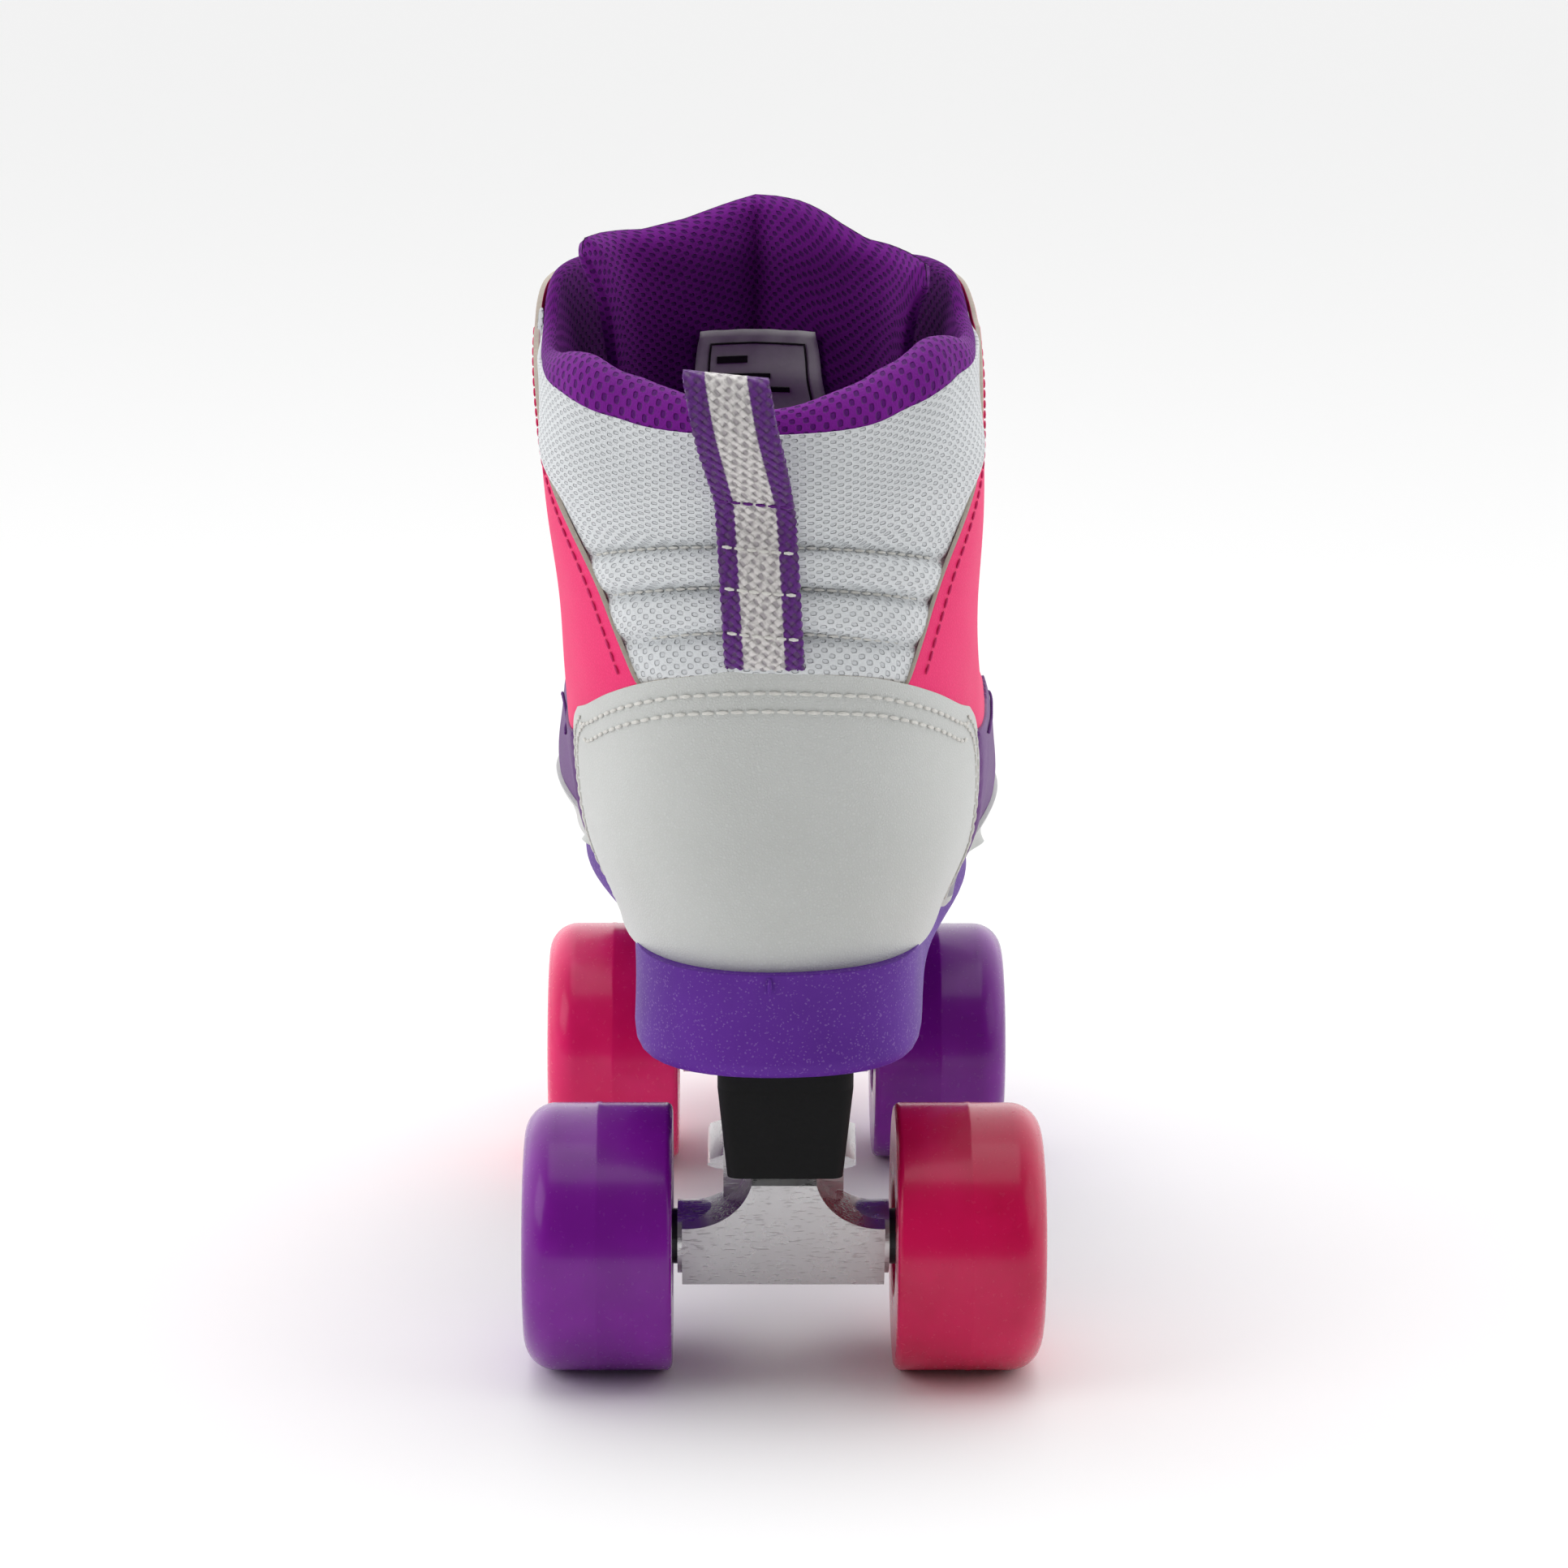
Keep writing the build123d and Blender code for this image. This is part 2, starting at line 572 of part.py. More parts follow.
def make_lacing(outer):
    """Eyelets, the seats they need, and the lace that crosses over from side to side."""
    eyelets, seats = [], []
    for row in range(eyelet_rows):
        for side in (-1, 1):
            spot, normal = eyelet_spot(outer, row, side)
            foot = spot - normal * upper_thickness
            length = upper_thickness + eyelet_flange_thickness
            barrel = rod(foot, normal, length, eyelet_barrel_radius)
            flange = rod(spot, normal, eyelet_flange_thickness, eyelet_flange_radius)
            bore = rod(foot, normal, length, eyelet_bore_radius)
            eyelets.append(barrel + flange - bore)
            seats.append(barrel + flange)
    lace = [lace_bar(outer)]
    lace += [lace_strand(outer, row, side) for row in range(eyelet_rows - 1) for side in (-1, 1)]
    return eyelets, seats, lace


def back_y(height):
    return last_row(height)[0] * along


def make_pull_loop():
    """Webbing sewn up the back of the ankle, with its top folded into a loop."""
    join, top = 121.0, 147.0
    heights = (86, 97, 109, join)
    hug = [(back_y(h) - 0.8, deck_z + h * upward) for h in heights]
    sewn_inner = [Vector(0, y, z) for y, z in hug]
    sewn_outer = [Vector(0, y - loop_thickness, z) for y, z in hug]
    strip = make_face(Polyline(*sewn_inner, *reversed(sewn_outer), close=True))
    root_y, root_z = hug[-1]
    top_z = deck_z + top * upward
    y_in, y_out = root_y, root_y - loop_gap - 2 * loop_thickness
    mid_z = root_z + 7
    ring_out = make_face(Polyline((0, y_in, root_z - 1.0), (0, y_in, top_z - 2), (0, y_in - 1.5, top_z),
                                  (0, y_out + 1.5, top_z), (0, y_out, top_z - 2), (0, y_out, mid_z),
                                  (0, y_in - loop_thickness, root_z - 1.0), close=True))
    t = loop_thickness
    ring_in = make_face(Polyline((0, y_in - t, root_z + 3), (0, y_in - t, top_z - 2.6),
                                 (0, y_in - t - 0.6, top_z - t), (0, y_out + t + 0.6, top_z - t),
                                 (0, y_out + t, top_z - 2.6), (0, y_out + t, mid_z + 0.6), close=True))
    half = loop_width / 2
    sewn = extrude(strip, half, dir=(1, 0, 0), both=True)
    ring = extrude(ring_out, half, dir=(1, 0, 0), both=True) - extrude(ring_in, half + 1, dir=(1, 0, 0),
                                                                        both=True)
    tilt = math.degrees(math.atan2(loop_lean, top_z - hug[0][1]))
    loop = (sewn + ring).rotate(Axis((0, 0, hug[0][1]), (0, 1, 0)), tilt)
    return loop.moved(Location((-4.0, 0, 0)))


def make_tongue(outer_tongue, inner_tongue):
    outline = front_prism([(-20, 46), (14, 46), (26, 62), (30, 150), (29, 156), (18, 163), (4, 168),
                           (-4, 171), (-12, 169), (-30, 165), (-42, 162), (-43, 150), (-34, 62)],
                          -42, 140)
    tongue = (outer_tongue - inner_tongue) & outline
    return tongue.solids().sort_by(Axis.Y)[-1]


# ---- build --------------------------------------------------------------------------------
def build_boot():
    outer = last_body(lambda height: 0.0)
    skin = last_body(lambda height: upper_thickness)
    inner = last_body(collar_inset)
    tongue_front = last_body(lambda height: collar_inset(height) + tongue_gap, 37)
    tongue_back = last_body(lambda height: collar_inset(height) + tongue_gap + tongue_thickness, 37)
    lining, eyestays = make_upper(outer, skin, inner)
    add("lasting_board", skin & sole_top_prism(0, board_thickness))
    add("footbed", inner & sole_top_prism(board_thickness, footbed_thickness))
    add("tongue", make_tongue(tongue_front, tongue_back))
    eyelets, seats, lace = make_lacing(outer)
    for seat in seats:
        eyestays -= seat
        lining -= seat
    add("lining", lining)
    add_pair("eyestay", eyestays)
    add("eyelets", *eyelets)
    add("lace", *lace)
    add("pull_loop", make_pull_loop())


def screw_places():
    """Screw positions: two rows at each truck, either side of the centre line."""
    for axle_y, facing in ((rear_axle_y, 1), (front_axle_y, -1)):
        for row in screw_rows:
            for side in (-1, 1):
                yield side * screw_spread, axle_y + facing * row


def build_chassis():
    kingpin_set = make_kingpin_set()
    start_y = rear_axle_y + pivot.Y + 6.0 - block_length - 1.0
    end_y = front_axle_y + stop_ahead + stop_boss_radius
    waist_y = (rear_axle_y + front_axle_y) / 2
    outline = Polyline((-plate_heel_half_width, start_y), (plate_heel_half_width, start_y),
                       (plate_heel_half_width, waist_y), (plate_ball_half_width, waist_y + 40),
                       (plate_ball_half_width, front_axle_y + 20), (stop_boss_radius, end_y),
                       (-stop_boss_radius, end_y), (-plate_ball_half_width, front_axle_y + 20),
                       (-plate_ball_half_width, waist_y + 40), (-plate_heel_half_width, waist_y),
                       close=True)
    slab = Pos(0, 0, plate_bottom_z) * extrude(make_face(outline), plate_thickness)
    slab = fillet(slab.edges().filter_by(Axis.Z), 4.0)
    plate = slab + place_rear(make_block()) + place_front(make_block())
    rib_start = rear_axle_y + ring_ahead + kingpin_boss_radius + 6
    rib_end = front_axle_y - ring_ahead - kingpin_boss_radius - 6
    for x in (-rib_spread, rib_spread):
        rib = Box(rib_thickness, rib_end - rib_start, rib_height + 1,
                  align=(Align.CENTER, Align.MIN, Align.MAX))
        plate += Pos(x, rib_start, plate_bottom_z + 1) * rib
    stop_top = Vector(0, front_axle_y + stop_ahead, plate_bottom_z)
    tilt = math.radians(stop_tilt)
    stop_axis = Vector(0, math.sin(tilt), -math.cos(tilt))
    boss = rod(stop_top - stop_axis * 5, stop_axis, stop_boss_length + 5, stop_boss_radius)
    above = Pos(0, 0, deck_z) * Box(400, 600, 60, align=(Align.CENTER, Align.CENTER, Align.MIN))
    plate += boss - above
    stem_start = stop_top + stop_axis * 3
    nut_start = stop_top + stop_axis * stop_boss_length
    washer_start = nut_start + stop_axis * stop_nut_height
    pad_start = washer_start + stop_axis * stop_washer_thickness
    head_start = pad_start + stop_axis * (stop_pad_height - stop_head_recess - stop_head_height)
    bolt = rod(stem_start, stop_axis, (head_start - stem_start).length, stop_stem_radius)
    bolt += rod(head_start, stop_axis, stop_head_height, stop_head_radius)
    plate -= rod(stem_start, stop_axis, stop_boss_length, stop_stem_radius)
    pad = rod(pad_start, stop_axis, stop_pad_height, stop_pad_neck_radius, stop_pad_radius)
    pad -= rod(pad_start, stop_axis, stop_pad_height, stop_stem_radius)
    pad -= rod(head_start, stop_axis, stop_head_height + stop_head_recess + 1, stop_head_radius)
    nut = hexagon_rod(nut_start, stop_axis, stop_nut_height, 17.0)
    add("toe_stop_pad", pad)
    add("toe_stop_bolt", bolt)
    add("toe_stop_nut_and_washer",
        nut - rod(nut_start, stop_axis, stop_nut_height, stop_stem_radius),
        washer(washer_start, stop_axis, stop_washer_thickness, stop_washer_radius, stop_stem_radius))
    for place in (place_rear, place_front):
        cup_space = rod(pivot + steer_axis * 12, -steer_axis, pivot_cup_length + 6.0,
                        pivot_pin_radius + pivot_cup_wall)
        plate -= place(cup_space)
        plate -= place(kingpin_set[0])
    screws = []
    sole = make_sole()
    board_top = deck_z + ball_sole_thickness
    for x, y in screw_places():
        shank = rod((x, y, plate_bottom_z), (0, 0, 1), board_top - 4 - plate_bottom_z, screw_radius)
        head = rod((x, y, plate_bottom_z - screw_head_height), (0, 0, 1), screw_head_height,
                   screw_head_radius)
        screws.append(shank + head)
        plate -= shank
        sole -= shank
    add("chassis_plate", plate)
    add("plate_screws", *screws)
    add("sole", sole)


def build_trucks():
    hanger = make_hanger()
    kingpin, kingpin_nut, upper, lower, retainers = make_kingpin_set()
    cup = make_pivot_cup()
    axle = cross_rod(-axle_half_length, axle_half_length, axle_radius)
    nut = hexagon_rod((nut_x, 0, axle_z), (1, 0, 0), nut_height, nut_across_flats)
    nut -= cross_rod(nut_x, nut_x + nut_height, axle_radius)
    collar = washer((boss_half_length, 0, axle_z), (1, 0, 0), inner_bearing_x - boss_half_length,
                    washer_radius, axle_radius)
    spacer_start = inner_bearing_x + bearing_width
    spacer = washer((spacer_start, 0, axle_z), (1, 0, 0), bearing_gap, axle_radius + spacer_wall,
                    axle_radius)
    inner_set, inner_race = make_bearing(inner_bearing_x)
    outer_set, outer_race = make_bearing(outer_bearing_x)
    hub = make_hub()
    tyre = make_tyre(hub)
    for name, place in (("rear", place_rear), ("front", place_front)):
        def both(*shapes):
            return [place(s) for shape in shapes for s in (shape, mirrored(shape))]

        add(f"{name}_hanger", place(hanger))
        add(f"{name}_kingpin", place(kingpin))
        add(f"{name}_kingpin_nut", place(kingpin_nut))
        add(f"{name}_cushion_upper", place(upper))
        add(f"{name}_cushion_lower", place(lower))
        add(f"{name}_cushion_retainers", *[place(shape) for shape in retainers])
        add(f"{name}_pivot_cup", place(cup))
        add(f"{name}_axle", place(axle))
        add(f"{name}_axle_nuts", *both(nut))
        add(f"{name}_axle_washers", *both(collar))
        add(f"{name}_bearing_inner_races", *both(inner_race, outer_race))
        add(f"{name}_bearing_spacers", *both(spacer))
        for side in ("left", "right"):
            turn = mirrored if (side == "left") == (name == "rear") else (lambda shape: shape)
            add(f"{name}_{side}_hub", place(turn(hub)))
            add(f"{name}_{side}_tyre", place(turn(tyre)))
            add(f"{name}_{side}_bearings", *[place(turn(shape)) for shape in inner_set + outer_set])


def main():
    build_chassis()
    build_trucks()
    build_boot()
    os.makedirs("parts", exist_ok=True)
    for name, shape in parts.items():
        export_step(shape, f"parts/{name}.step")
    print(len(parts), "parts written")


if __name__ == "__main__":
    main()
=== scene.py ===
"""Looks of a quad roller skate: boot, sole, trucks and wheels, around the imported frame."""
from __future__ import annotations

import logging
import math
from dataclasses import dataclass
from enum import Enum
from typing import Callable, Sequence

import bmesh
import bpy
import numpy as np
from mathutils import Matrix, Vector
from mathutils.bvhtree import BVHTree

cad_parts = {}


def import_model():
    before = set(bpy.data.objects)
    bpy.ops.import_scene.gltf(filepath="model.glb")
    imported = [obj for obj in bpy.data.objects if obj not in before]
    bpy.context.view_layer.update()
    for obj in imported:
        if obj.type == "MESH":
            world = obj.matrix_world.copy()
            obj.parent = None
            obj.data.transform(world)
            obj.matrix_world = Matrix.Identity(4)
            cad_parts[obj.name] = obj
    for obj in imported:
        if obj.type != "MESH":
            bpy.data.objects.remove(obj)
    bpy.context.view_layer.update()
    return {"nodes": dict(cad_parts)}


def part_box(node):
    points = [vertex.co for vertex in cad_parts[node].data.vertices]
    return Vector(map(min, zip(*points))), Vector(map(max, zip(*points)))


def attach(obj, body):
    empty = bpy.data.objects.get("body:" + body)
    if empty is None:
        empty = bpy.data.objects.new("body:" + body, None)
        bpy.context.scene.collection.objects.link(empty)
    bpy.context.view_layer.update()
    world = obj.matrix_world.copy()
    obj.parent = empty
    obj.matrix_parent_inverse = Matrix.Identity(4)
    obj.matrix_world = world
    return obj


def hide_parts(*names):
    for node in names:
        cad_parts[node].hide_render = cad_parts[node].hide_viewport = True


logging.basicConfig(level=logging.INFO, format="%(message)s")
log = logging.getLogger("skate")

MM = 0.001
TAU = 2 * math.pi
Array = np.ndarray


def srgb(red: float, green: float, blue: float) -> tuple[float, float, float, float]:
    """A display colour, 0 to 255, as a linear colour with alpha."""
    def linear(value: float) -> float:
        """One channel without the display curve."""
        share = value / 255
        return share / 12.92 if share <= 0.04045 else ((share + 0.055) / 1.055) ** 2.4
    return linear(red), linear(green), linear(blue), 1.0


# ---- shader expressions -------------------------------------------------------------------
class Shade:
    """A node socket that Python expressions can work with."""

    def __init__(self, graph: Graph, socket: bpy.types.NodeSocket) -> None:
        """Wrap a socket of a graph."""
        self.graph, self.socket = graph, socket

    def __add__(self, other: Shade | float) -> Shade:
        """Sum."""
        return self.graph.math("ADD", self, other)

    def __radd__(self, other: float) -> Shade:
        """Sum with a number on the left."""
        return self.graph.math("ADD", other, self)

    def __sub__(self, other: Shade | float) -> Shade:
        """Difference."""
        return self.graph.math("SUBTRACT", self, other)

    def __rsub__(self, other: float) -> Shade:
        """Difference with a number on the left."""
        return self.graph.math("SUBTRACT", other, self)

    def __mul__(self, other: Shade | float) -> Shade:
        """Product."""
        return self.graph.math("MULTIPLY", self, other)

    def __rmul__(self, other: float) -> Shade:
        """Product with a number on the left."""
        return self.graph.math("MULTIPLY", other, self)

    def __pow__(self, other: float) -> Shade:
        """Power."""
        return self.graph.math("POWER", self, other)

    def step(self, low: float, high: float) -> Shade:
        """A smooth rise from 0 to 1 between two values."""
        return self.graph.node("ShaderNodeMapRange", {"interpolation_type": "SMOOTHSTEP"},
                               {"Value": self, "From Min": low, "From Max": high})

    def wave(self, period: float) -> Shade:
        """A cosine of this value with a period in its own units."""
        return self.graph.math("COSINE", self * (TAU / period))


class Graph:
    """The nodes of one material."""

    def __init__(self, name: str) -> None:
        """Start an empty material."""
        self.material = bpy.data.materials.new(name)
        self.material.use_nodes = True
        self.nodes = self.material.node_tree.nodes
        self.links = self.material.node_tree.links
        self.nodes.clear()

    def node(self, kind: str, settings: dict | None = None, sockets: dict | None = None,
             output: int | str = 0) -> Shade:
        """Add a node.

        Args:
            kind: the node's type.
            settings: its properties, set first.
            sockets: values or links of its inputs, by name or number.
            output: which output is wanted.

        Returns:
            The wanted output as an expression.
        """
        made = self.nodes.new(kind)
        for key, value in (settings or {}).items():
            setattr(made, key, value)
        for key, value in (sockets or {}).items():
            if isinstance(value, Shade):
                self.links.new(value.socket, made.inputs[key])
            else:
                made.inputs[key].default_value = value
        return Shade(self, made.outputs[output])

    def math(self, operation: str, *values: Shade | float) -> Shade:
        """A Math node on values or sockets."""
        return self.node("ShaderNodeMath", {"operation": operation}, dict(enumerate(values)))

    def mix(self, factor: Shade | float, first: Shade | tuple, second: Shade | tuple) -> Shade:
        """A colour between two colours."""
        made = self.nodes.new("ShaderNodeMix")
        made.data_type = "RGBA"
        for index, value in ((0, factor), (6, first), (7, second)):
            if isinstance(value, Shade):
                self.links.new(value.socket, made.inputs[index])
            else:
                made.inputs[index].default_value = value
        return Shade(self, made.outputs[2])

    def place(self) -> Shade:
        """The point in the row frame, in metres."""
        return self.node("ShaderNodeTexCoord", output="Object")

    def cloth(self) -> tuple[Shade, Shade, Shade]:
        """The piece's own map: across, along, and both together, in metres."""
        both = self.node("ShaderNodeUVMap", {"uv_map": "cloth"})
        split = self.nodes.new("ShaderNodeSeparateXYZ")
        self.links.new(both.socket, split.inputs[0])
        return Shade(self, split.outputs[0]), Shade(self, split.outputs[1]), both

    def noise(self, scale: float, detail: float = 3.0, vector: Shade | None = None) -> Shade:
        """Soft cloudy variation, 0 to 1."""
        return self.node("ShaderNodeTexNoise", None,
                         {"Vector": vector or self.place(), "Scale": scale, "Detail": detail})

    def cells(self, scale: float, feature: str = "F1", output: str = "Distance") -> Shade:
        """Cell pattern."""
        return self.node("ShaderNodeTexVoronoi", {"feature": feature},
                         {"Vector": self.place(), "Scale": scale}, output)

    def bump(self, height: Shade, distance: float, strength: float = 1.0,
             under: Shade | None = None) -> Shade:
        """A normal pushed by a height, in metres per unit of height."""
        sockets = {"Height": height, "Distance": distance, "Strength": strength}
        if under is not None:
            sockets["Normal"] = under
        return self.node("ShaderNodeBump", None, sockets)

    def finish(self, color: Shade | tuple, roughness: Shade | float, normal: Shade | None = None,
               **fixed: float | tuple) -> bpy.types.Material:
        """Close the material with a Principled shader.

        Args:
            color: base colour.
            roughness: roughness.
            normal: normal from a Bump node.
            fixed: other sockets, with spaces as underscores.

        Returns:
            The finished material.
        """
        sockets: dict = {"Base Color": color, "Roughness": roughness}
        if normal is not None:
            sockets["Normal"] = normal
        for key, value in fixed.items():
            sockets[key.replace("_", " ")] = value
        shader = self.node("ShaderNodeBsdfPrincipled", None, sockets)
        closing = self.nodes.new("ShaderNodeOutputMaterial")
        self.links.new(shader.socket, closing.inputs["Surface"])
        return self.material


# ---- finishes -----------------------------------------------------------------------------
@dataclass(frozen=True)
class Urethane:
    """Glossy cast urethane of a wheel."""

    name: str
    color: tuple
    deep: tuple

    def build(self) -> bpy.types.Material:
        """Return the material: cloudy depth, small scuffs and a clear gloss."""
        graph = Graph(self.name)
        cloud = graph.noise(45.0, 4.0)
        scuff = graph.noise(900.0, 6.0).step(0.62, 0.72)
        color = graph.mix(cloud.step(0.3, 0.75), self.deep, self.color)
        normal = graph.bump(graph.noise(160.0, 4.0), 0.00012, 0.5)
        return graph.finish(color, 0.24 + scuff * 0.22, normal, Coat_Weight=0.08, Coat_Roughness=0.06,
                            Specular_IOR_Level=0.32,
                            Subsurface_Weight=0.12, Subsurface_Radius=(0.004, 0.002, 0.003),
                            Subsurface_Scale=0.5, IOR=1.5)


@dataclass(frozen=True)
class Leather:
    """Synthetic leather with fine grain."""

    name: str
    color: tuple
    shade: tuple
    roughness: float = 0.42
    grain: float = 0.00009

    def build(self) -> bpy.types.Material:
        """Return the material: pores, soft creases, slight colour drift and painted shade along the
        sunk grain lines.
        """
        graph = Graph(self.name)
        pores = graph.cells(1500.0, "DISTANCE_TO_EDGE").step(0.0, 0.35)
        waves = graph.noise(70.0, 4.0)
        height = pores * 0.8 + waves * 1.2
        # random colour drift, plus painted shade: darker along the sunk edges of the grain cells
        drift_and_grain_shade = (graph.noise(28.0, 3.0) * 0.7 + (1 - pores) * 0.25).step(0.2, 0.85)
        color = graph.mix(drift_and_grain_shade, self.color, self.shade)
        return graph.finish(color, self.roughness + waves * 0.12,
                            graph.bump(height, self.grain, 0.8), Specular_IOR_Level=0.3)


@dataclass(frozen=True)
class SpacerMesh:
    """Knitted spacer mesh: a staggered lattice of small open cells."""

    name: str
    thread: tuple
    # darker colour: painted shade in the sunk open cells, also used for random darker patches
    hollow: tuple
    across: float = 0.0021
    along: float = 0.0034
    depth: float = 0.0005

    def build(self) -> bpy.types.Material:
        """Return the material: cells sunk between raised threads, with fine yarn fibres, painted shade
        in the sunk cells and random darker patches.
        """
        graph = Graph(self.name)
        u, v, both = graph.cloth()
        drift = graph.noise(60.0, 2.0, both) * 0.0016
        lattice = (u + drift).wave(self.across * 2) * (v + drift).wave(self.along)
        cell = lattice.step(0.12, 0.62)
        yarn = graph.noise(2600.0, 3.0, both)
        stretch = graph.noise(35.0, 3.0, both)
        # painted shade: the sunk open cells take the darker colour; the stretch patches darken it at
        # random
        color = graph.mix(cell, self.thread, self.hollow)
        color = graph.mix(stretch.step(0.25, 0.8) * 0.35, color, self.hollow)
        height = (1 - cell) + yarn * 0.3
        return graph.finish(color, 0.82, graph.bump(height, self.depth, 0.9),
                            Sheen_Weight=0.06, Sheen_Roughness=0.5, Specular_IOR_Level=0.12)


@dataclass(frozen=True)
class Webbing:
    """Woven tape with coloured edges."""

    name: str
    middle: tuple
    edge: tuple
    width: float
    edge_share: float = 0.23

    def build(self) -> bpy.types.Material:
        """Return the material: chevron weave, purple selvedges, a pale middle and painted shade in the
        weave's sunk spots.
        """
        graph = Graph(self.name)
        u, v, _ = graph.cloth()
        border = self.width * (0.5 - self.edge_share)
        side = graph.math("ABSOLUTE", u).step(border - 0.0002, border + 0.0002)
        weave = (u + v * 0.5).wave(0.0028) * (v - u * 0.35).wave(0.0034)
        color = graph.mix(side, self.middle, self.edge)
        # painted shade: the weave's sunk spots darken towards a grey purple
        color = graph.mix(weave.step(-0.1, 0.8) * 0.55, color, srgb(92, 74, 96))
        return graph.finish(color, 0.78, graph.bump(1 - weave, 0.00045, 0.9), Sheen_Weight=0.2,
                            Sheen_Roughness=0.45)


@dataclass(frozen=True)
class Metal:
    """Bare or plated metal."""

    name: str
    color: tuple
    dull: tuple
    roughness: float
    scratch: float = 0.35

    def build(self) -> bpy.types.Material:
        """Return the material: fine scratches, smears and small casting waves."""
        graph = Graph(self.name)
        streak = graph.node("ShaderNodeMapping", None, {"Vector": graph.place(),
                                                        "Scale": (1.0, 9.0, 5.0)})
        scratches = graph.noise(420.0, 8.0, streak).step(0.56, 0.66)
        smear = graph.noise(120.0, 5.0)
        color = graph.mix(scratches * self.scratch + smear * 0.2, self.color, self.dull)
        rough = self.roughness + scratches * 0.2 * self.scratch + smear.step(0.4, 0.8) * 0.12
        normal = graph.bump(scratches * 0.4 + graph.noise(90.0, 3.0), 0.00012, 0.6)
        return graph.finish(color, rough, normal, Metallic=1.0)


@dataclass(frozen=True)
class Moulded:
    """Moulded plastic or rubber."""

    name: str
    color: tuple
    shade: tuple
    roughness: float
    sparkle: float = 0.0

    def build(self) -> bpy.types.Material:
        """Return the material: moulding grain and, where wanted, glitter flakes."""
        graph = Graph(self.name)
        grain = graph.noise(1800.0, 4.0)
        cloud = graph.noise(38.0, 3.0)
        color = graph.mix(cloud.step(0.3, 0.8), self.color, self.shade)
        rough = self.roughness + grain * 0.1
        if self.sparkle:
            flake = graph.cells(3200.0, output="Color")
            glint = graph.node("ShaderNodeSeparateColor", None, {0: flake}).step(0.9, 0.97)
            color = graph.mix(glint * self.sparkle, color, srgb(190, 150, 215))
            rough = rough - glint * 0.15
        return graph.finish(color, rough, graph.bump(grain + cloud, 0.00008, 0.7),
                            Specular_IOR_Level=0.18)


@dataclass(frozen=True)
class Plain:
    """Thread, raw edges, paper and other small plain stuff."""

    name: str
    color: tuple
    shade: tuple
    roughness: float = 0.75
    scale: float = 1400.0

    def build(self) -> bpy.types.Material:
        """Return the material with a fibrous grain."""
        graph = Graph(self.name)
        fibre = graph.noise(self.scale, 4.0)
        return graph.finish(graph.mix(fibre, self.color, self.shade), self.roughness,
                            graph.bump(fibre, 0.0001, 0.6), Specular_IOR_Level=0.3)


class Palette:
    """Every material of the skate, made once."""

    def __init__(self) -> None:
        """Build the materials."""
        made = [
            Urethane("purple_urethane", srgb(132, 20, 158), srgb(112, 12, 136)),
            Urethane("pink_urethane", srgb(250, 34, 118), srgb(232, 18, 100)),
            Urethane("crimson_urethane", srgb(208, 10, 82), srgb(188, 4, 66)),
            Leather("white_leather", srgb(206, 208, 206), srgb(196, 198, 195)),
            Leather("pink_leather", srgb(244, 46, 118), srgb(232, 36, 106), 0.55, 0.00006),
            Leather("purple_leather", srgb(104, 44, 128), srgb(84, 32, 106), 0.45),
            SpacerMesh("white_mesh", srgb(224, 227, 229), srgb(208, 211, 214), 0.00165, 0.0026),
            SpacerMesh("purple_mesh", srgb(124, 26, 146), srgb(84, 12, 108), 0.0015, 0.0023, 0.0006),
            Webbing("webbing", srgb(228, 224, 222), srgb(96, 30, 128), 0.0165),
            Metal("polished_aluminium", (0.66, 0.66, 0.66, 1), (0.34, 0.33, 0.33, 1), 0.26),
            Metal("zinc_steel", (0.72, 0.72, 0.70, 1), (0.45, 0.44, 0.42, 1), 0.3),
            Metal("bearing_steel", (0.68, 0.69, 0.70, 1), (0.4, 0.4, 0.4, 1), 0.22),
            Metal("dark_washer", (0.06, 0.06, 0.065, 1), (0.02, 0.02, 0.02, 1), 0.4),
            Moulded("black_nylon", srgb(17, 17, 18), srgb(11, 11, 12), 0.6),
            Moulded("purple_sole", srgb(98, 42, 154), srgb(84, 34, 136), 0.5, 0.2),
            Moulded("purple_rubber", srgb(88, 40, 120), srgb(70, 28, 98), 0.5),
            Moulded("stop_rubber", srgb(214, 40, 100), srgb(186, 26, 82), 0.55),
            Moulded("hub_white", srgb(228, 228, 226), srgb(205, 205, 203), 0.4),
            Plain("white_thread", srgb(236, 235, 230), srgb(196, 194, 188)),
            Plain("magenta_thread", srgb(214, 48, 112), srgb(186, 32, 92)),
            Plain("purple_thread", srgb(104, 34, 132), srgb(74, 20, 98)),
            Plain("raw_edge", srgb(214, 204, 192), srgb(188, 176, 162)),
            Plain("label_satin", srgb(238, 237, 236), srgb(224, 223, 222), 0.6, 700.0),
            Plain("label_ink", srgb(50, 48, 50), srgb(35, 34, 36), 0.6),
            Plain("lace_braid", srgb(238, 238, 236), srgb(200, 200, 198), 0.8, 900.0),
        ]
        self.materials = {finish.name: finish.build() for finish in made}

    def __getitem__(self, name: str) -> bpy.types.Material:
        """A material by its name."""
        return self.materials[name]


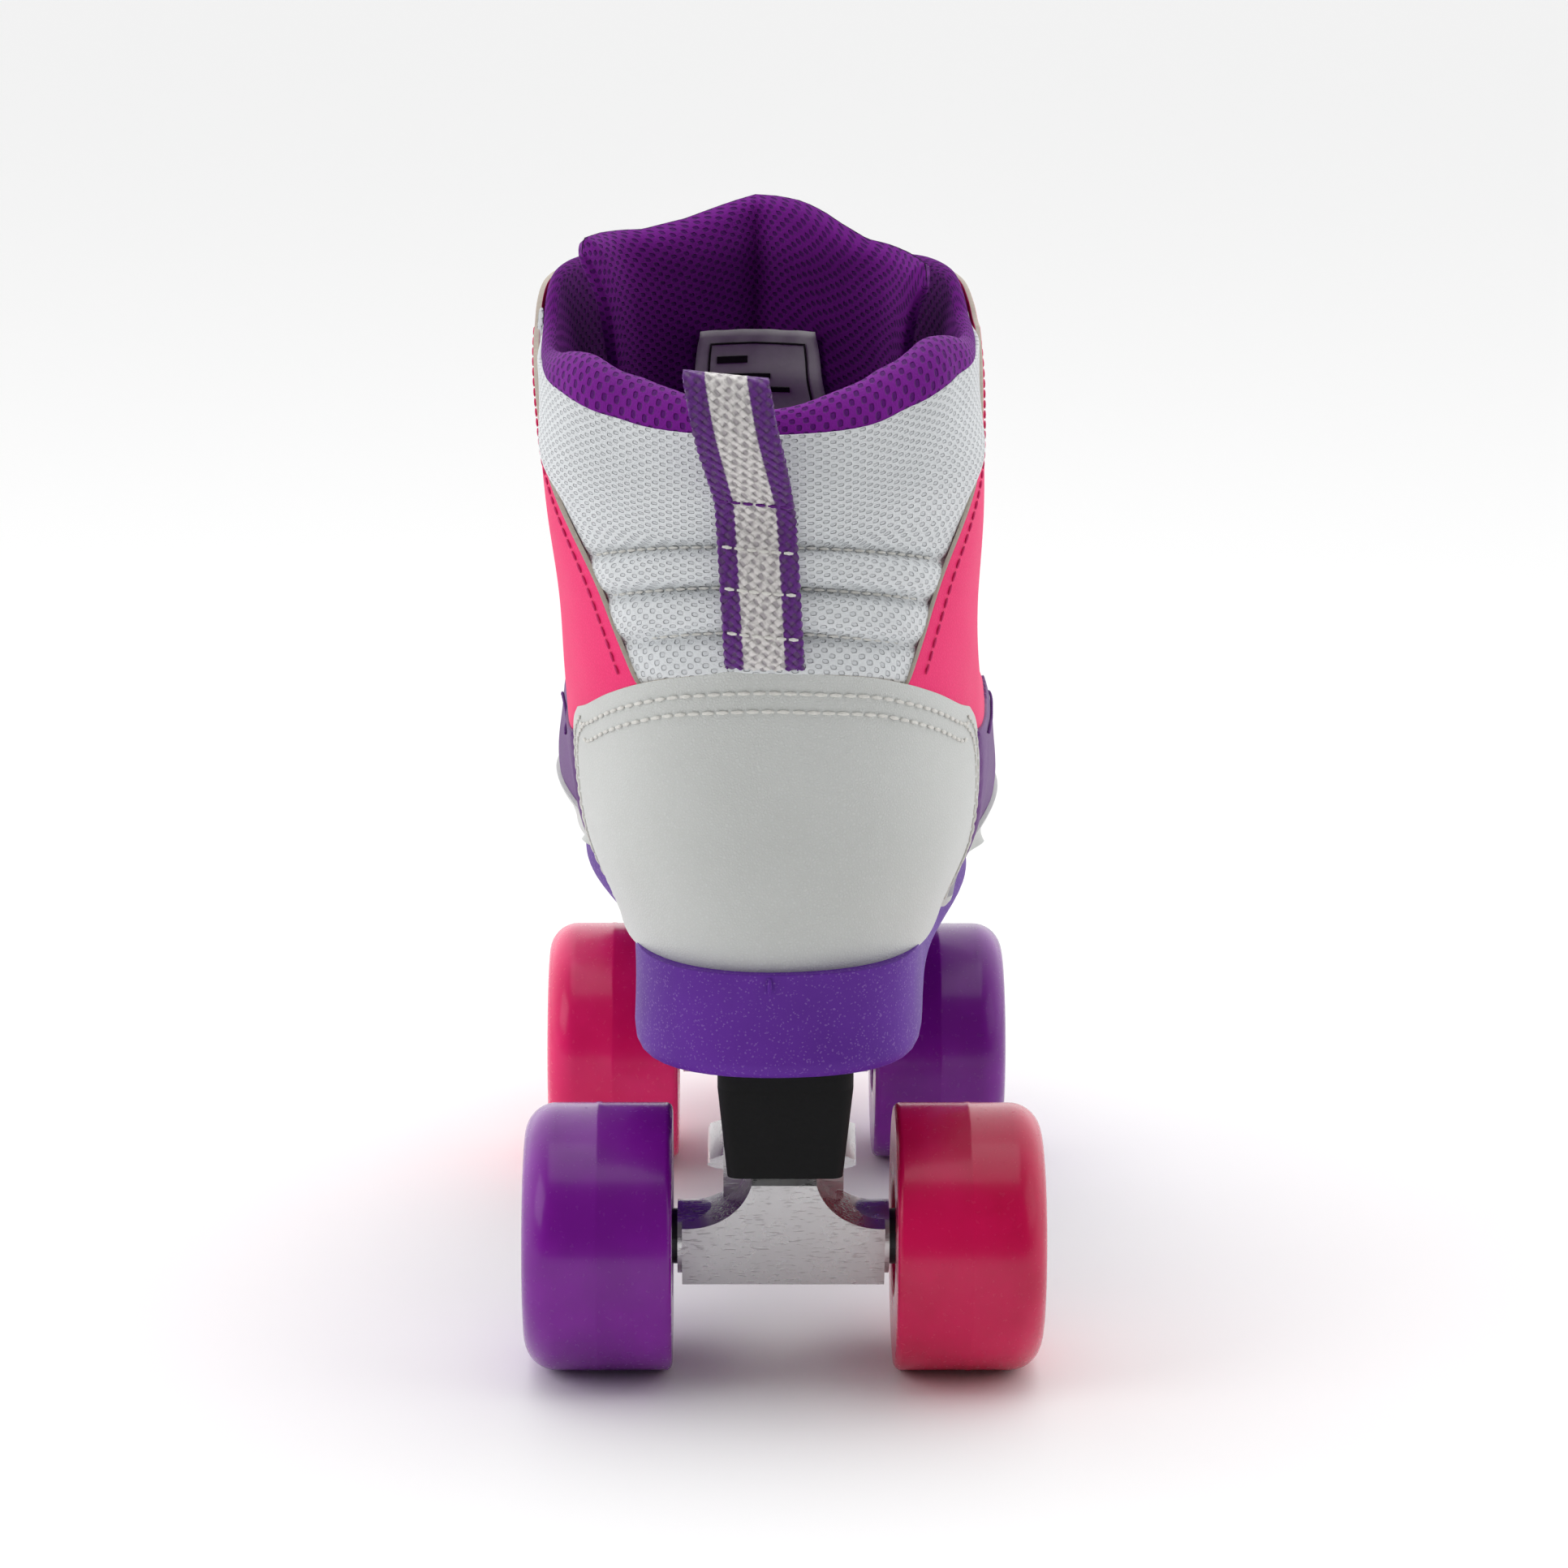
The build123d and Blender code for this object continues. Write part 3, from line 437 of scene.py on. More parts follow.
# ---- the boot's surface -------------------------------------------------------------------
def smooth_line(points: Sequence[Sequence[float]], count: int) -> Array:
    """Points spread evenly along a smooth curve through a few given points."""
    knots = np.asarray(points, float)
    if len(knots) == 2:
        return knots[0] + (knots[1] - knots[0]) * np.linspace(0, 1, count)[:, None]
    padded = np.vstack([2 * knots[0] - knots[1], knots, 2 * knots[-1] - knots[-2]])
    t = np.linspace(0, 1, 24, endpoint=False)[:, None]
    pieces = []
    for a, b, c, d in zip(padded, padded[1:], padded[2:], padded[3:]):
        pieces.append(0.5 * (2 * b + (c - a) * t + (2 * a - 5 * b + 4 * c - d) * t ** 2
                             + (3 * b - a - 3 * c + d) * t ** 3))
    fine = np.vstack(pieces + [knots[-1:]])
    walked = np.concatenate([[0], np.cumsum(np.linalg.norm(np.diff(fine, axis=0), axis=1))])
    wanted = np.linspace(0, walked[-1], count)
    return np.column_stack([np.interp(wanted, walked, fine[:, k]) for k in range(fine.shape[1])])


def cubic_weights(share: Array) -> list[Array]:
    """Weights of four neighbours for a smooth value between the middle two."""
    t = share
    return [0.5 * (-t + 2 * t ** 2 - t ** 3), 0.5 * (2 - 5 * t ** 2 + 3 * t ** 3),
            0.5 * (t + 4 * t ** 2 - 3 * t ** 3), 0.5 * (t ** 3 - t ** 2)]


class BootSurface:
    """The boot's outer surface, as a distance from an upright core line.

    A turn of 0 looks to the heel and a turn of pi to the toe; positive turns are on the outer
    side of the foot.
    """

    turn_count = 192
    level_step = 0.002
    foot_core = (-0.0015, 0.0)
    shaft_core = (-0.0062, -0.0620)
    far = 0.3
    trim = 0.0024

    def __init__(self, nodes: dict[str, bpy.types.Object], shell: Sequence[str]) -> None:
        """Measure the CAD shell.

        Args:
            nodes: the frame's CAD objects by name.
            shell: names of the nodes that make the outer surface.
        """
        self.nodes = nodes
        self.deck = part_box("sole")[0].z
        self.levels = np.arange(self.deck + 0.011, self.deck + 0.176, self.level_step)
        self.turns = np.arange(self.turn_count) * TAU / self.turn_count
        verts, faces = [], []
        for name in shell:
            mesh = nodes[name].data
            start = len(verts)
            verts += [vertex.co.copy() for vertex in mesh.vertices]
            faces += [[start + index for index in face.vertices] for face in mesh.polygons]
        tree = BVHTree.FromPolygons(verts, faces)
        rings = nodes["eyelets"].data
        ring_tree = BVHTree.FromPolygons([v.co for v in rings.vertices],
                                         [list(p.vertices) for p in rings.polygons])
        radius = np.full((len(self.levels), self.turn_count), np.nan)
        for row, level in enumerate(self.levels):
            core_x, core_y = self.core(level)
            for column, turn in enumerate(self.turns):
                aim = Vector((math.sin(turn), -math.cos(turn), 0))
                hit = tree.ray_cast(Vector((core_x, core_y, level)) + aim * self.far, -aim)
                if hit[0] is None or self.far - hit[3] < 0.01:
                    continue
                if ring_tree.find_nearest(hit[0], 0.004)[0] is None:
                    radius[row, column] = self.far - hit[3]
        self.radius = self._filled(radius)

    def core(self, z: Array | float) -> tuple[Array, Array]:
        """Place of the core line at a height."""
        share = np.clip((np.asarray(z, float) - self.deck - 0.050) / 0.062, 0, 1)
        share = share * share * (3 - 2 * share)
        return (self.foot_core[0] + (self.shaft_core[0] - self.foot_core[0]) * share,
                self.foot_core[1] + (self.shaft_core[1] - self.foot_core[1]) * share)

    def _filled(self, radius: Array) -> Array:
        """Close the throat and the edges of the shell, and even out the facets."""
        front = np.abs(np.angle(np.exp(1j * (self.turns - math.pi)))) < math.radians(75)
        wide = np.arange(-self.turn_count, 2 * self.turn_count)
        for row in radius:
            known = np.isfinite(row)
            if known[front].sum() > 8:
                spread = np.tile(row, 3)
                sure = np.isfinite(spread)
                full = np.interp(wide, wide[sure], spread[sure])[self.turn_count:2 * self.turn_count]
                row[front & ~known] = full[front & ~known]
        rows = np.arange(len(radius))
        for column in radius.T:
            known = np.isfinite(column)
            column[~known] = np.interp(rows[~known], rows[known], column[known])
        for _ in range(4):
            radius = (np.roll(radius, 1, 1) + 2 * radius + np.roll(radius, -1, 1)) / 4
            padded = np.vstack([radius[:1], radius, radius[-1:]])
            radius = (padded[:-2] + 2 * radius + padded[2:]) / 4
        return radius

    def reach(self, turn: Array, z: Array) -> Array:
        """Distance of the surface from the core line."""
        across = (np.asarray(turn) / TAU % 1.0) * self.turn_count
        up = np.clip((np.asarray(z) - self.levels[0]) / self.level_step, 0, len(self.levels) - 1.001)
        column, row = np.floor(across).astype(int), np.floor(up).astype(int)
        total = 0.0
        for i, wi in enumerate(cubic_weights(up - row)):
            level = np.clip(row + i - 1, 0, len(self.levels) - 1)
            for j, wj in enumerate(cubic_weights(across - column)):
                total = total + wi * wj * self.radius[level, (column + j - 1) % self.turn_count]
        return total

    def skin(self, turn: Array, z: Array) -> Array:
        """Points on the surface that the panels are laid on."""
        return self.inside(turn, z, self.trim)

    def inside(self, turn: Array, z: Array, depth: Array | float) -> Array:
        """Points straight inwards from the CAD shell's outer surface."""
        turn, z = np.asarray(turn, float), np.asarray(z, float)
        core_x, core_y = self.core(z)
        reach = self.reach(turn, z) - depth
        return np.stack([core_x + reach * np.sin(turn), core_y - reach * np.cos(turn), z], -1)

    def normal(self, turn: Array, z: Array) -> Array:
        """Outward directions."""
        around = self.skin(turn + 0.02, z) - self.skin(turn - 0.02, z)
        upward = self.skin(turn, z + 0.0015) - self.skin(turn, z - 0.0015)
        normal = np.cross(around, upward)
        return normal / np.linalg.norm(normal, axis=-1, keepdims=True)

    def point(self, turn: Array, z: Array, lift: Array | float = 0.0) -> Array:
        """Points on the surface, lifted along its normals."""
        lift = np.asarray(lift, float)
        return self.skin(turn, z) + self.normal(turn, z) * lift[..., None]

    def turn_at(self, side: int, y: Array, z: Array) -> Array:
        """The turn where the surface has a given y, on one side of the boot."""
        y, z = np.broadcast_arrays(np.asarray(y, float), np.asarray(z, float))
        low, high = np.zeros(y.shape), np.full(y.shape, math.pi)
        for _ in range(22):
            middle = (low + high) / 2
            behind = self.skin(side * middle, z)[..., 1] < y
            low, high = np.where(behind, middle, low), np.where(behind, high, middle)
        return side * (low + high) / 2

    def front_turn(self, side: int, x_off: Array, z: Array) -> Array:
        """The turn at a distance from the front's middle line."""
        x_off, z = np.broadcast_arrays(np.asarray(x_off, float), np.asarray(z, float))
        middle_x = self.front_middle(z)
        low, high = np.full(z.shape, math.radians(100)), np.full(z.shape, math.pi)
        for _ in range(22):
            middle = (low + high) / 2
            outside = side * (self.skin(side * middle, z)[..., 0] - middle_x) > x_off
            low, high = np.where(outside, middle, low), np.where(outside, high, middle)
        return side * (low + high) / 2

    def front_middle(self, z: Array | float) -> Array:
        """Sideways place of the throat's middle line."""
        share = (np.asarray(z, float) - self.deck - 0.078) / 0.107
        return -0.0035 - 0.003 * share

    def chart(self, side: int, points: Sequence[Sequence[float]]) -> Array:
        """Side-view points, in millimetres along and above the deck, as turns and heights."""
        pairs = np.asarray(points, float) * MM
        z = pairs[:, 1] + self.deck
        return np.column_stack([self.turn_at(side, pairs[:, 0], z), z])


class Side(Enum):
    """The two sides of the foot."""

    LEFT = -1
    RIGHT = 1

    @property
    def label(self) -> str:
        """Lower-case name."""
        return self.name.lower()


# ---- mesh helpers -------------------------------------------------------------------------
def new_piece(name: str, bm: bmesh.types.BMesh, material: bpy.types.Material, body: str,
              replaced: Sequence[str] = (), smooth: bool = True) -> bpy.types.Object:
    """Turn a bmesh into an object that rides on a body.

    Args:
        name: the piece's name.
        bm: its mesh, which is freed.
        material: its finish.
        body: the CAD body it moves with.
        replaced: CAD nodes that it stands for.
        smooth: whether its faces are shaded smoothly.

    Returns:
        The new object.
    """
    mesh = bpy.data.meshes.new(name)
    bm.to_mesh(mesh)
    bm.free()
    mesh.materials.append(material)
    mesh.polygons.foreach_set("use_smooth", [smooth] * len(mesh.polygons))
    piece = bpy.data.objects.new(name, mesh)
    bpy.context.scene.collection.objects.link(piece)
    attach(piece, body)
    if replaced:
        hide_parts(*replaced)
    log.info("piece %s: %d faces", name, len(mesh.polygons))
    return piece


def mapped_grid(columns: int, rows: int, place: Callable[[Array, Array], Array],
                closed: bool = False, paint: Callable[[float, float], int] | None = None
                ) -> bmesh.types.BMesh:
    """A grid whose points are moved onto a shape, with a cloth map in metres.

    Args:
        columns: faces across.
        rows: faces along.
        place: gives the points for shares across and along, both from 0 to 1.
        closed: whether some of its edges meet.
        paint: gives a face's material from its shares across and along.

    Returns:
        The mesh.
    """
    bm = bmesh.new()
    bmesh.ops.create_grid(bm, x_segments=columns, y_segments=rows, size=0.5)
    bm.verts.ensure_lookup_table()
    flat = np.array([vertex.co[:2] for vertex in bm.verts]) + 0.5
    column = np.rint(flat[:, 0] * columns).astype(int)
    row = np.rint(flat[:, 1] * rows).astype(int)
    u, v = np.meshgrid(np.linspace(0, 1, columns + 1), np.linspace(0, 1, rows + 1))
    points = place(u, v)
    across = np.linalg.norm(np.diff(points, axis=1), axis=2)
    across = np.hstack([np.zeros((rows + 1, 1)), np.cumsum(across, axis=1)])
    across -= across[:, columns // 2][:, None]
    along = np.linalg.norm(np.diff(points, axis=0), axis=2)
    along = np.vstack([np.zeros((1, columns + 1)), np.cumsum(along, axis=0)]).mean(1)
    if paint is not None:
        for face in bm.faces:
            middle = face.calc_center_median()
            face.material_index = paint(middle.x + 0.5, middle.y + 0.5)
    layer = bm.loops.layers.uv.new("cloth")
    for vertex, i, j in zip(bm.verts, row, column):
        vertex.co = points[i, j]
        for loop in vertex.link_loops:
            loop[layer].uv = (across[i, j], along[i])
    if closed:
        bmesh.ops.remove_doubles(bm, verts=bm.verts, dist=1e-6)
    return bm


def thicken(piece: bpy.types.Object, thickness: float, edge: bpy.types.Material | None = None,
            rounding: float = 0.0, levels: int = 1, outward: float = 1.0) -> None:
    """Give a sheet its thickness, a rounded edge and a finer surface."""
    wall = piece.modifiers.new("wall", "SOLIDIFY")
    wall.thickness = thickness
    wall.offset = outward
    if edge is not None:
        piece.data.materials.append(edge)
        wall.material_offset_rim = 1
    if rounding:
        bevel = piece.modifiers.new("edge", "BEVEL")
        bevel.width = rounding
        bevel.segments = 2
        bevel.limit_method = "ANGLE"
        bevel.angle_limit = math.radians(50)
    if levels:
        fine = piece.modifiers.new("fine", "SUBSURF")
        fine.levels = fine.render_levels = levels


def coons(bottom: Array, top: Array, left: Array, right: Array) -> Callable[[Array, Array], Array]:
    """Blend four edge curves of a patch into a map from shares to chart points."""
    def sample(curve: Array, share: Array) -> Array:
        """Points of an edge at shares of its length."""
        steps = np.linspace(0, 1, len(curve))
        return np.stack([np.interp(share, steps, curve[:, k]) for k in (0, 1)], -1)

    share = np.linspace(0, 1, len(left))[:, None]
    left = left + (1 - share) * (bottom[0] - left[0]) + share * (top[0] - left[-1])
    share = np.linspace(0, 1, len(right))[:, None]
    right = right + (1 - share) * (bottom[-1] - right[0]) + share * (top[-1] - right[-1])

    def place(u: Array, v: Array) -> Array:
        """Points of the surface at shares across and up it."""
        a, b = u[..., None], v[..., None]
        ruled = (1 - b) * sample(bottom, u) + b * sample(top, u)
        crossed = (1 - a) * sample(left, v) + a * sample(right, v)
        corners = ((1 - a) * (1 - b) * bottom[0] + a * (1 - b) * bottom[-1]
                   + (1 - a) * b * top[0] + a * b * top[-1])
        return ruled + crossed - corners
    return place


@dataclass
class Panel:
    """A panel of the upper: a patch on the boot's surface between four edge curves."""

    surface: BootSurface
    bottom: Array
    top: Array
    left: Array
    right: Array
    columns: int = 60
    rows: int = 30
    lift: Callable[[Array, Array], Array] | float = 0.0

    def mesh(self) -> bmesh.types.BMesh:
        """Build the panel's outer face."""
        chart = coons(*(smooth_line(edge, 90) for edge in (self.bottom, self.top, self.left,
                                                            self.right)))

        def place(u: Array, v: Array) -> Array:
            """Points of the surface at shares across and up it."""
            pairs = chart(u, v)
            lift = self.lift(pairs[..., 0], pairs[..., 1]) if callable(self.lift) else self.lift
            return self.surface.point(pairs[..., 0], pairs[..., 1], np.broadcast_to(lift, u.shape))
        return mapped_grid(self.columns, self.rows, place)


def stitches(path: Array, aim: Array, pitch: float, thread: float) -> bmesh.types.BMesh:
    """Short thread loops along a path.

    Args:
        path: points of the seam.
        aim: outward directions at those points.
        pitch: distance from one stitch to the next.
        thread: the thread's radius.

    Returns:
        One mesh with all the stitches.
    """
    walked = np.concatenate([[0], np.cumsum(np.linalg.norm(np.diff(path, axis=0), axis=1))])
    count = max(2, int(walked[-1] / pitch))
    middles = (np.arange(count) + 0.5) * walked[-1] / count
    bm = bmesh.new()
    for middle in middles:
        ends = [Vector([np.interp(middle + reach, walked, path[:, k]) for k in range(3)])
                for reach in (-0.36 * pitch, 0.36 * pitch)]
        up = Vector([np.interp(middle, walked, aim[:, k]) for k in range(3)]).normalized()
        forward = (ends[1] - ends[0]).normalized()
        side = up.cross(forward).normalized()
        half = (ends[1] - ends[0]).length / 2 + thread
        turn = Matrix((forward, side, up)).transposed().to_4x4()
        size = Matrix.Diagonal((half, thread, thread * 0.8, 1))
        spot = Matrix.Translation((ends[0] + ends[1]) / 2 + up * thread * 0.35)
        bmesh.ops.create_uvsphere(bm, u_segments=6, v_segments=5, radius=1.0,
                                  matrix=spot @ turn @ size)
    return bm


class Seams:
    """Rows of stitches on the boot."""

    def __init__(self, surface: BootSurface, palette: Palette) -> None:
        """Keep what every seam needs."""
        self.surface, self.palette = surface, palette

    def sew(self, name: str, chart_points: Array, lift: float, thread: str, slot: str,
            pitch: float = 0.0031, radius: float = 0.00042) -> None:
        """Sew one row along chart points."""
        line = smooth_line(chart_points, 300)
        path = self.surface.point(line[:, 0], line[:, 1], np.full(len(line), lift))
        aim = self.surface.normal(line[:, 0], line[:, 1])
        bm = stitches(path, aim, pitch, radius)
        new_piece(name, bm, self.palette[thread], "root")


# ---- boot ---------------------------------------------------------------------------------
class Boot:
    """The sewn boot: panels, lining, tongue, lacing and pull loop."""

    throat_low, throat_high = 0.0120, 0.0190
    nib_turn = -0.085
    wall, lining, collar = 0.0018, 0.0032, 0.0085
    quilt_heights = (0.1116, 0.1034, 0.0943)
    quilt_drops = (0.0126, 0.0187, 0.0309)
    quilt_ends = (0.66, 0.56, 0.43)
    rim_front = ((-49, 152), (-42, 156), (-32, 157.6), (-22, 157.2), (-14, 154.5), (10, 151))
    rim_left = ((-136, 134), (-118, 134.3), (-109, 136), (-98, 139), (-80, 141.5), (-65, 143),
                (-55, 146.5))
    rim_right = ((-136, 134), (-118, 134.6), (-110, 137.8), (-101, 141.8), (-90, 144), (-72, 145.5),
                 (-55, 148))
    border = ((-118.5, 76), (-115.5, 82.5), (-112, 89), (-107.7, 98), (-103, 107), (-94.5, 116),
              (-83, 124.5), (-71, 134), (-60, 143.5), (-56, 147))

    counter_top = ((-124, 85.0), (-117.5, 82.2), (-108, 78), (-96, 73), (-87, 70.5))
    counter_side = ((-87, 70.5), (-78, 65), (-72, 54), (-68, 38), (-65, 21.5))

    def __init__(self, surface: BootSurface, palette: Palette) -> None:
        """Prepare the outlines that panels share."""
        self.surface, self.palette = surface, palette
        self.deck = surface.deck
        self.seams = Seams(surface, palette)
        self.border_z = self.deck + np.array([h for _, h in self.border]) * MM
        self.border_turns = {side: surface.chart(side.value, self.border)[:, 0] for side in Side}
        self.rim_turns, self.rim_z = self._rim()

    def build(self) -> None:
        """Build every piece of the boot."""
        self.back_panel()
        for side in Side:
            self.quarter(side)
            self.side_panel(side)
            self.eyestay(side)
        self.vamp()
        self.toe_cap()
        self.rand()
        self.counter()
        self.collar_lining()
        self.footbed()
        self.tongue()
        self.label()
        self.pull_loop()
        self.lace()

    # outlines
    def _rim(self) -> tuple[Array, Array]:
        """Height of the upper's top edge at each turn."""
        left, right = (smooth_line(back + self.rim_front, 200) * MM
                       for back in (self.rim_left, self.rim_right))
        turns = np.linspace(-math.pi, math.pi, 361)
        z = np.full(turns.shape, self.deck + 0.140)
        for _ in range(6):
            y = self.surface.skin(turns, z)[..., 1]
            z = self.deck + np.where(turns < 0, np.interp(y, left[:, 0], left[:, 1]),
                                     np.interp(y, right[:, 0], right[:, 1]))
        return turns, z

    def rim_at(self, turn: Array) -> Array:
        """Height of the top edge."""
        return np.interp(turn, self.rim_turns, self.rim_z)

    def rim_curve(self, start: float, end: float) -> Array:
        """The top edge between two turns, as chart points."""
        turns = np.linspace(start, end, 60)
        return np.column_stack([turns, self.rim_at(turns)])

    def inset(self, z: Array) -> Array:
        """Depth of the lining's inner face below the outer surface."""
        share = np.clip((np.asarray(z) - self.deck - 0.070) / 0.050, 0, 1)
        return self.wall + self.lining + (self.collar - self.lining) * share

    def sole_top(self, y: Array) -> Array:
        """Height of the sole's upper face."""
        return self.deck + np.interp(y, (-0.075, 0.040), (0.023, 0.012))

    def counter_cover(self, turn: Array, z: Array, soft: float) -> Array:
        """How far a place lies under the heel counter.

        Args:
            turn: direction from the core line.
            z: height.
            soft: millimetres below the counter's edge over which the share rises to 1.

        Returns:
            Shares from 0, outside the counter, to 1.
        """
        line = np.array([(-130, 86.4), *self.counter_top, *self.counter_side[1:], (-64, -10)])
        y = self.surface.skin(turn, z)[..., 1] / MM
        height = (z - self.deck) / MM
        return np.clip((np.interp(y, line[:, 0], line[:, 1]) - height) / soft, 0, 1)

    def around_heel(self, height: float, points: Sequence[Sequence[float]]) -> Array:
        """A curve from the left side round the heel to the right side."""
        left, right = (self.surface.chart(side, points) for side in (-1, 1))
        return np.vstack([left[::-1], [[0.0, self.deck + height * MM]], right])

    def around_toe(self, height: float, points: Sequence[Sequence[float]]) -> Array:
        """A curve from the right side round the toe to the left side."""
        left, right = (self.surface.chart(side, points) for side in (-1, 1))
        left[:, 0] += TAU
        return np.vstack([right, [[math.pi, self.deck + height * MM]], left[::-1]])

    def throat_edge(self, side: Side, low: float, high: float, extra: float = 0.0) -> Array:
        """The edge of the throat, or a line beside it, between two heights in millimetres."""
        z = self.deck + np.linspace(low, high, 24) * MM
        share = (z - self.deck - 0.078) / 0.107
        half = self.throat_low + (self.throat_high - self.throat_low) * share + extra
        return np.column_stack([self.surface.front_turn(side.value, half, z), z])

    def side_panel_mesh(self, side: Side, bottom: Array, top: Array, back: Array, front: Array,
                        **options: object) -> bmesh.types.BMesh:
        """A panel on one side, from edge curves that run from back to front and upwards."""
        if side is Side.LEFT:
            return Panel(self.surface, bottom[::-1], top[::-1], front, back, **options).mesh()
        return Panel(self.surface, bottom, top, back, front, **options).mesh()

    # panels
    def quilt(self, turn: Array, z: Array) -> Array:
        """Lift of the padded back: foam under the collar and sewn channels below it."""
        height = z - self.deck
        foam = np.exp(-((height - 0.1235) / 0.0085) ** 2) * 0.0026
        low = np.exp(-((height - 0.084) / 0.007) ** 2) * 0.0010
        lift = foam + low + 0.0008
        spread = np.clip(np.abs(turn), 0, 0.8) ** 2
        lines = [middle - drop * spread for middle, drop in zip(self.quilt_heights, self.quilt_drops)]
        for line in lines:
            lift = lift - 0.0026 * np.exp(-((height - line) / 0.0011) ** 2)
        for upper, lower in zip(lines, lines[1:]):
            middle, half = (upper + lower) / 2, (upper - lower) / 2
            lift = lift + 0.0020 * np.clip(1 - ((height - middle) / half) ** 2, 0, 1)
        limit = np.where(turn < 0, -np.interp(z, self.border_z, self.border_turns[Side.LEFT]),
                         np.interp(z, self.border_z, self.border_turns[Side.RIGHT]))
        edge = np.clip((limit + 0.03 - np.abs(turn)) / 0.16, 0, 1)
        under = self.counter_cover(turn, z, 2.5)
        return lift * edge ** 0.6 * (1 - under) - 0.0014 * under

    def back_panel(self) -> None:
        """White spacer mesh over the heel tendon, with its sewn channels."""
        border = [(y + 6, h) for y, h in self.border]
        edges = {side: self.surface.chart(side, border) for side in (-1, 1)}
        bottom = self.around_heel(79, [(-124, 77), (-118, 73), (border[0][0], border[0][1] - 4)])
        top = self.rim_curve(edges[-1][-1, 0], edges[1][-1, 0])
        left = np.vstack([bottom[:1], edges[-1]])
        right = np.vstack([bottom[-1:], edges[1]])
        bm = Panel(self.surface, bottom, top, left, right, 120, 84, self.quilt).mesh()
        piece = new_piece("back_mesh", bm, self.palette["white_mesh"], "root",
                          ["back_panel"])
        thicken(piece, 0.0012, levels=1, outward=-1.0)
        channels = zip(self.quilt_heights, self.quilt_drops, self.quilt_ends)
        for index, (middle, drop, end) in enumerate(channels):
            turns = np.linspace(-end, end, 60)
            line = np.column_stack([turns, self.deck + middle - drop * turns ** 2])
            self.seams.sew(f"channel_stitches_{index + 1}", line, -0.0007, "white_thread", "white_mesh",
                           0.0026, 0.00034)

    def quarter(self, side: Side) -> None:
        """Pink leather quarter with its tab at the collar."""
        chart = self.surface.chart
        back = chart(side.value, self.border)
        front = self.throat_edge(side, 64, 156)
        lower = chart(side.value, [(-119, 72), (-95, 62), (-60, 52), (-20, 47), (25, 44), (58, 44)])
        bottom = np.vstack([lower, front[:1]])
        top = self.rim_curve(back[-1, 0], front[-1, 0])
        back = np.vstack([bottom[:1], back])

        def lift(turn: Array, z: Array) -> Array:
            """Close to the surface, and sunk where the counter covers it."""
            return 0.0006 - 0.0022 * self.counter_cover(turn, z, 3.0)
        bm = self.side_panel_mesh(side, bottom, top, back, front, columns=90, rows=60, lift=lift)
        name = f"quarter_{side.label}"
        piece = new_piece(f"{name}_leather", bm, self.palette["pink_leather"], "root",
                          [name])
        thicken(piece, 0.0012, self.palette["raw_edge"], 0.0003)
        inside = chart(side.value, [(y + 3.6, h) for y, h in self.border[1:]])
        self.seams.sew(f"{name}_stitches", inside, 0.0019, "magenta_thread", "pink_leather",
                       0.0029, 0.00033)

    def side_panel(self, side: Side) -> None:
        """Purple side panel whose upper edge has a row of small teeth."""
        chart = self.surface.chart
        lower = chart(side.value, [(-94, 23), (-40, 23), (0, 23), (40, 22.6), (82, 22.6)])
        crest = smooth_line([(-94, 66), (-76, 63), (-45, 60), (-20, 57), (5, 54), (30, 51), (52, 46),
                             (70, 36)], 80)
        teeth = np.clip(np.sin((crest[:, 0] + 34) / 72 * math.pi), 0, 1) * 2.2
        crest[:, 1] += teeth * np.abs(np.mod(crest[:, 0] / 9.0, 1.0) * 2 - 1)
        top = chart(side.value, crest)
        back = chart(side.value, [(-94, 23), (-94, 66)])
        front = chart(side.value, [(82, 22.6), (77, 29), (70, 36)])

        def lift(turn: Array, z: Array) -> Array:
            """Over the quarter, and sunk where the counter covers it."""
            return 0.0013 - 0.0027 * self.counter_cover(turn, z, 3.0)
        bm = self.side_panel_mesh(side, lower, top, back, front, columns=110, rows=36, lift=lift)
        name = f"side_panel_{side.label}"
        piece = new_piece(f"{name}_leather", bm, self.palette["purple_leather"], "root",
                          [name])
        thicken(piece, 0.0011, None, 0.0003)
        row = chart(side.value, [(-58, 58), (-45, 56.5), (-20, 52.5), (5, 50.5), (30, 47.5), (50, 43)])
        self.seams.sew(f"{name}_stitches", row, 0.0026, "purple_thread", "purple_leather")

    def eyestay(self, side: Side) -> None:
        """Pink strip beside the throat that carries the eyelets."""
        edge = self.throat_edge(side, 66, 155.5)
        inner = self.throat_edge(side, 63, 154, 0.0155)
        bottom = np.vstack([inner[:1], edge[:1]])
        top = np.vstack([inner[-1:], edge[-1:]])
        bm = self.side_panel_mesh(side, bottom, top, inner, edge, columns=12, rows=70, lift=0.0014)
        name = f"eyestay_{side.label}"
        piece = new_piece(f"{name}_leather", bm, self.palette["purple_leather"], "root",
                          [name])
        thicken(piece, 0.0010, None, 0.0003)
        for step, extra in (("outer", 0.0135), ("inner", 0.0018)):
            row = self.throat_edge(side, 67, 153, extra)
            self.seams.sew(f"{name}_{step}_stitches", row, 0.0026, "purple_thread", "pink_leather")

    def vamp(self) -> None:
        """White mesh over the toes, under the toe cap and the quarters."""
        bottom = self.around_toe(58, [(88, 25), (93, 40), (95, 50)])
        top = self.around_toe(71.5, [(40, 24), (48, 46), (56, 60), (66, 68)])
        bm = Panel(self.surface, bottom, top, np.vstack([bottom[:1], top[:1]]),
                   np.vstack([bottom[-1:], top[-1:]]), 90, 40, 0.0004).mesh()
        piece = new_piece("vamp_mesh", bm, self.palette["white_mesh"], "root", ["vamp"])
        thicken(piece, 0.0012, levels=1, outward=-1.0)

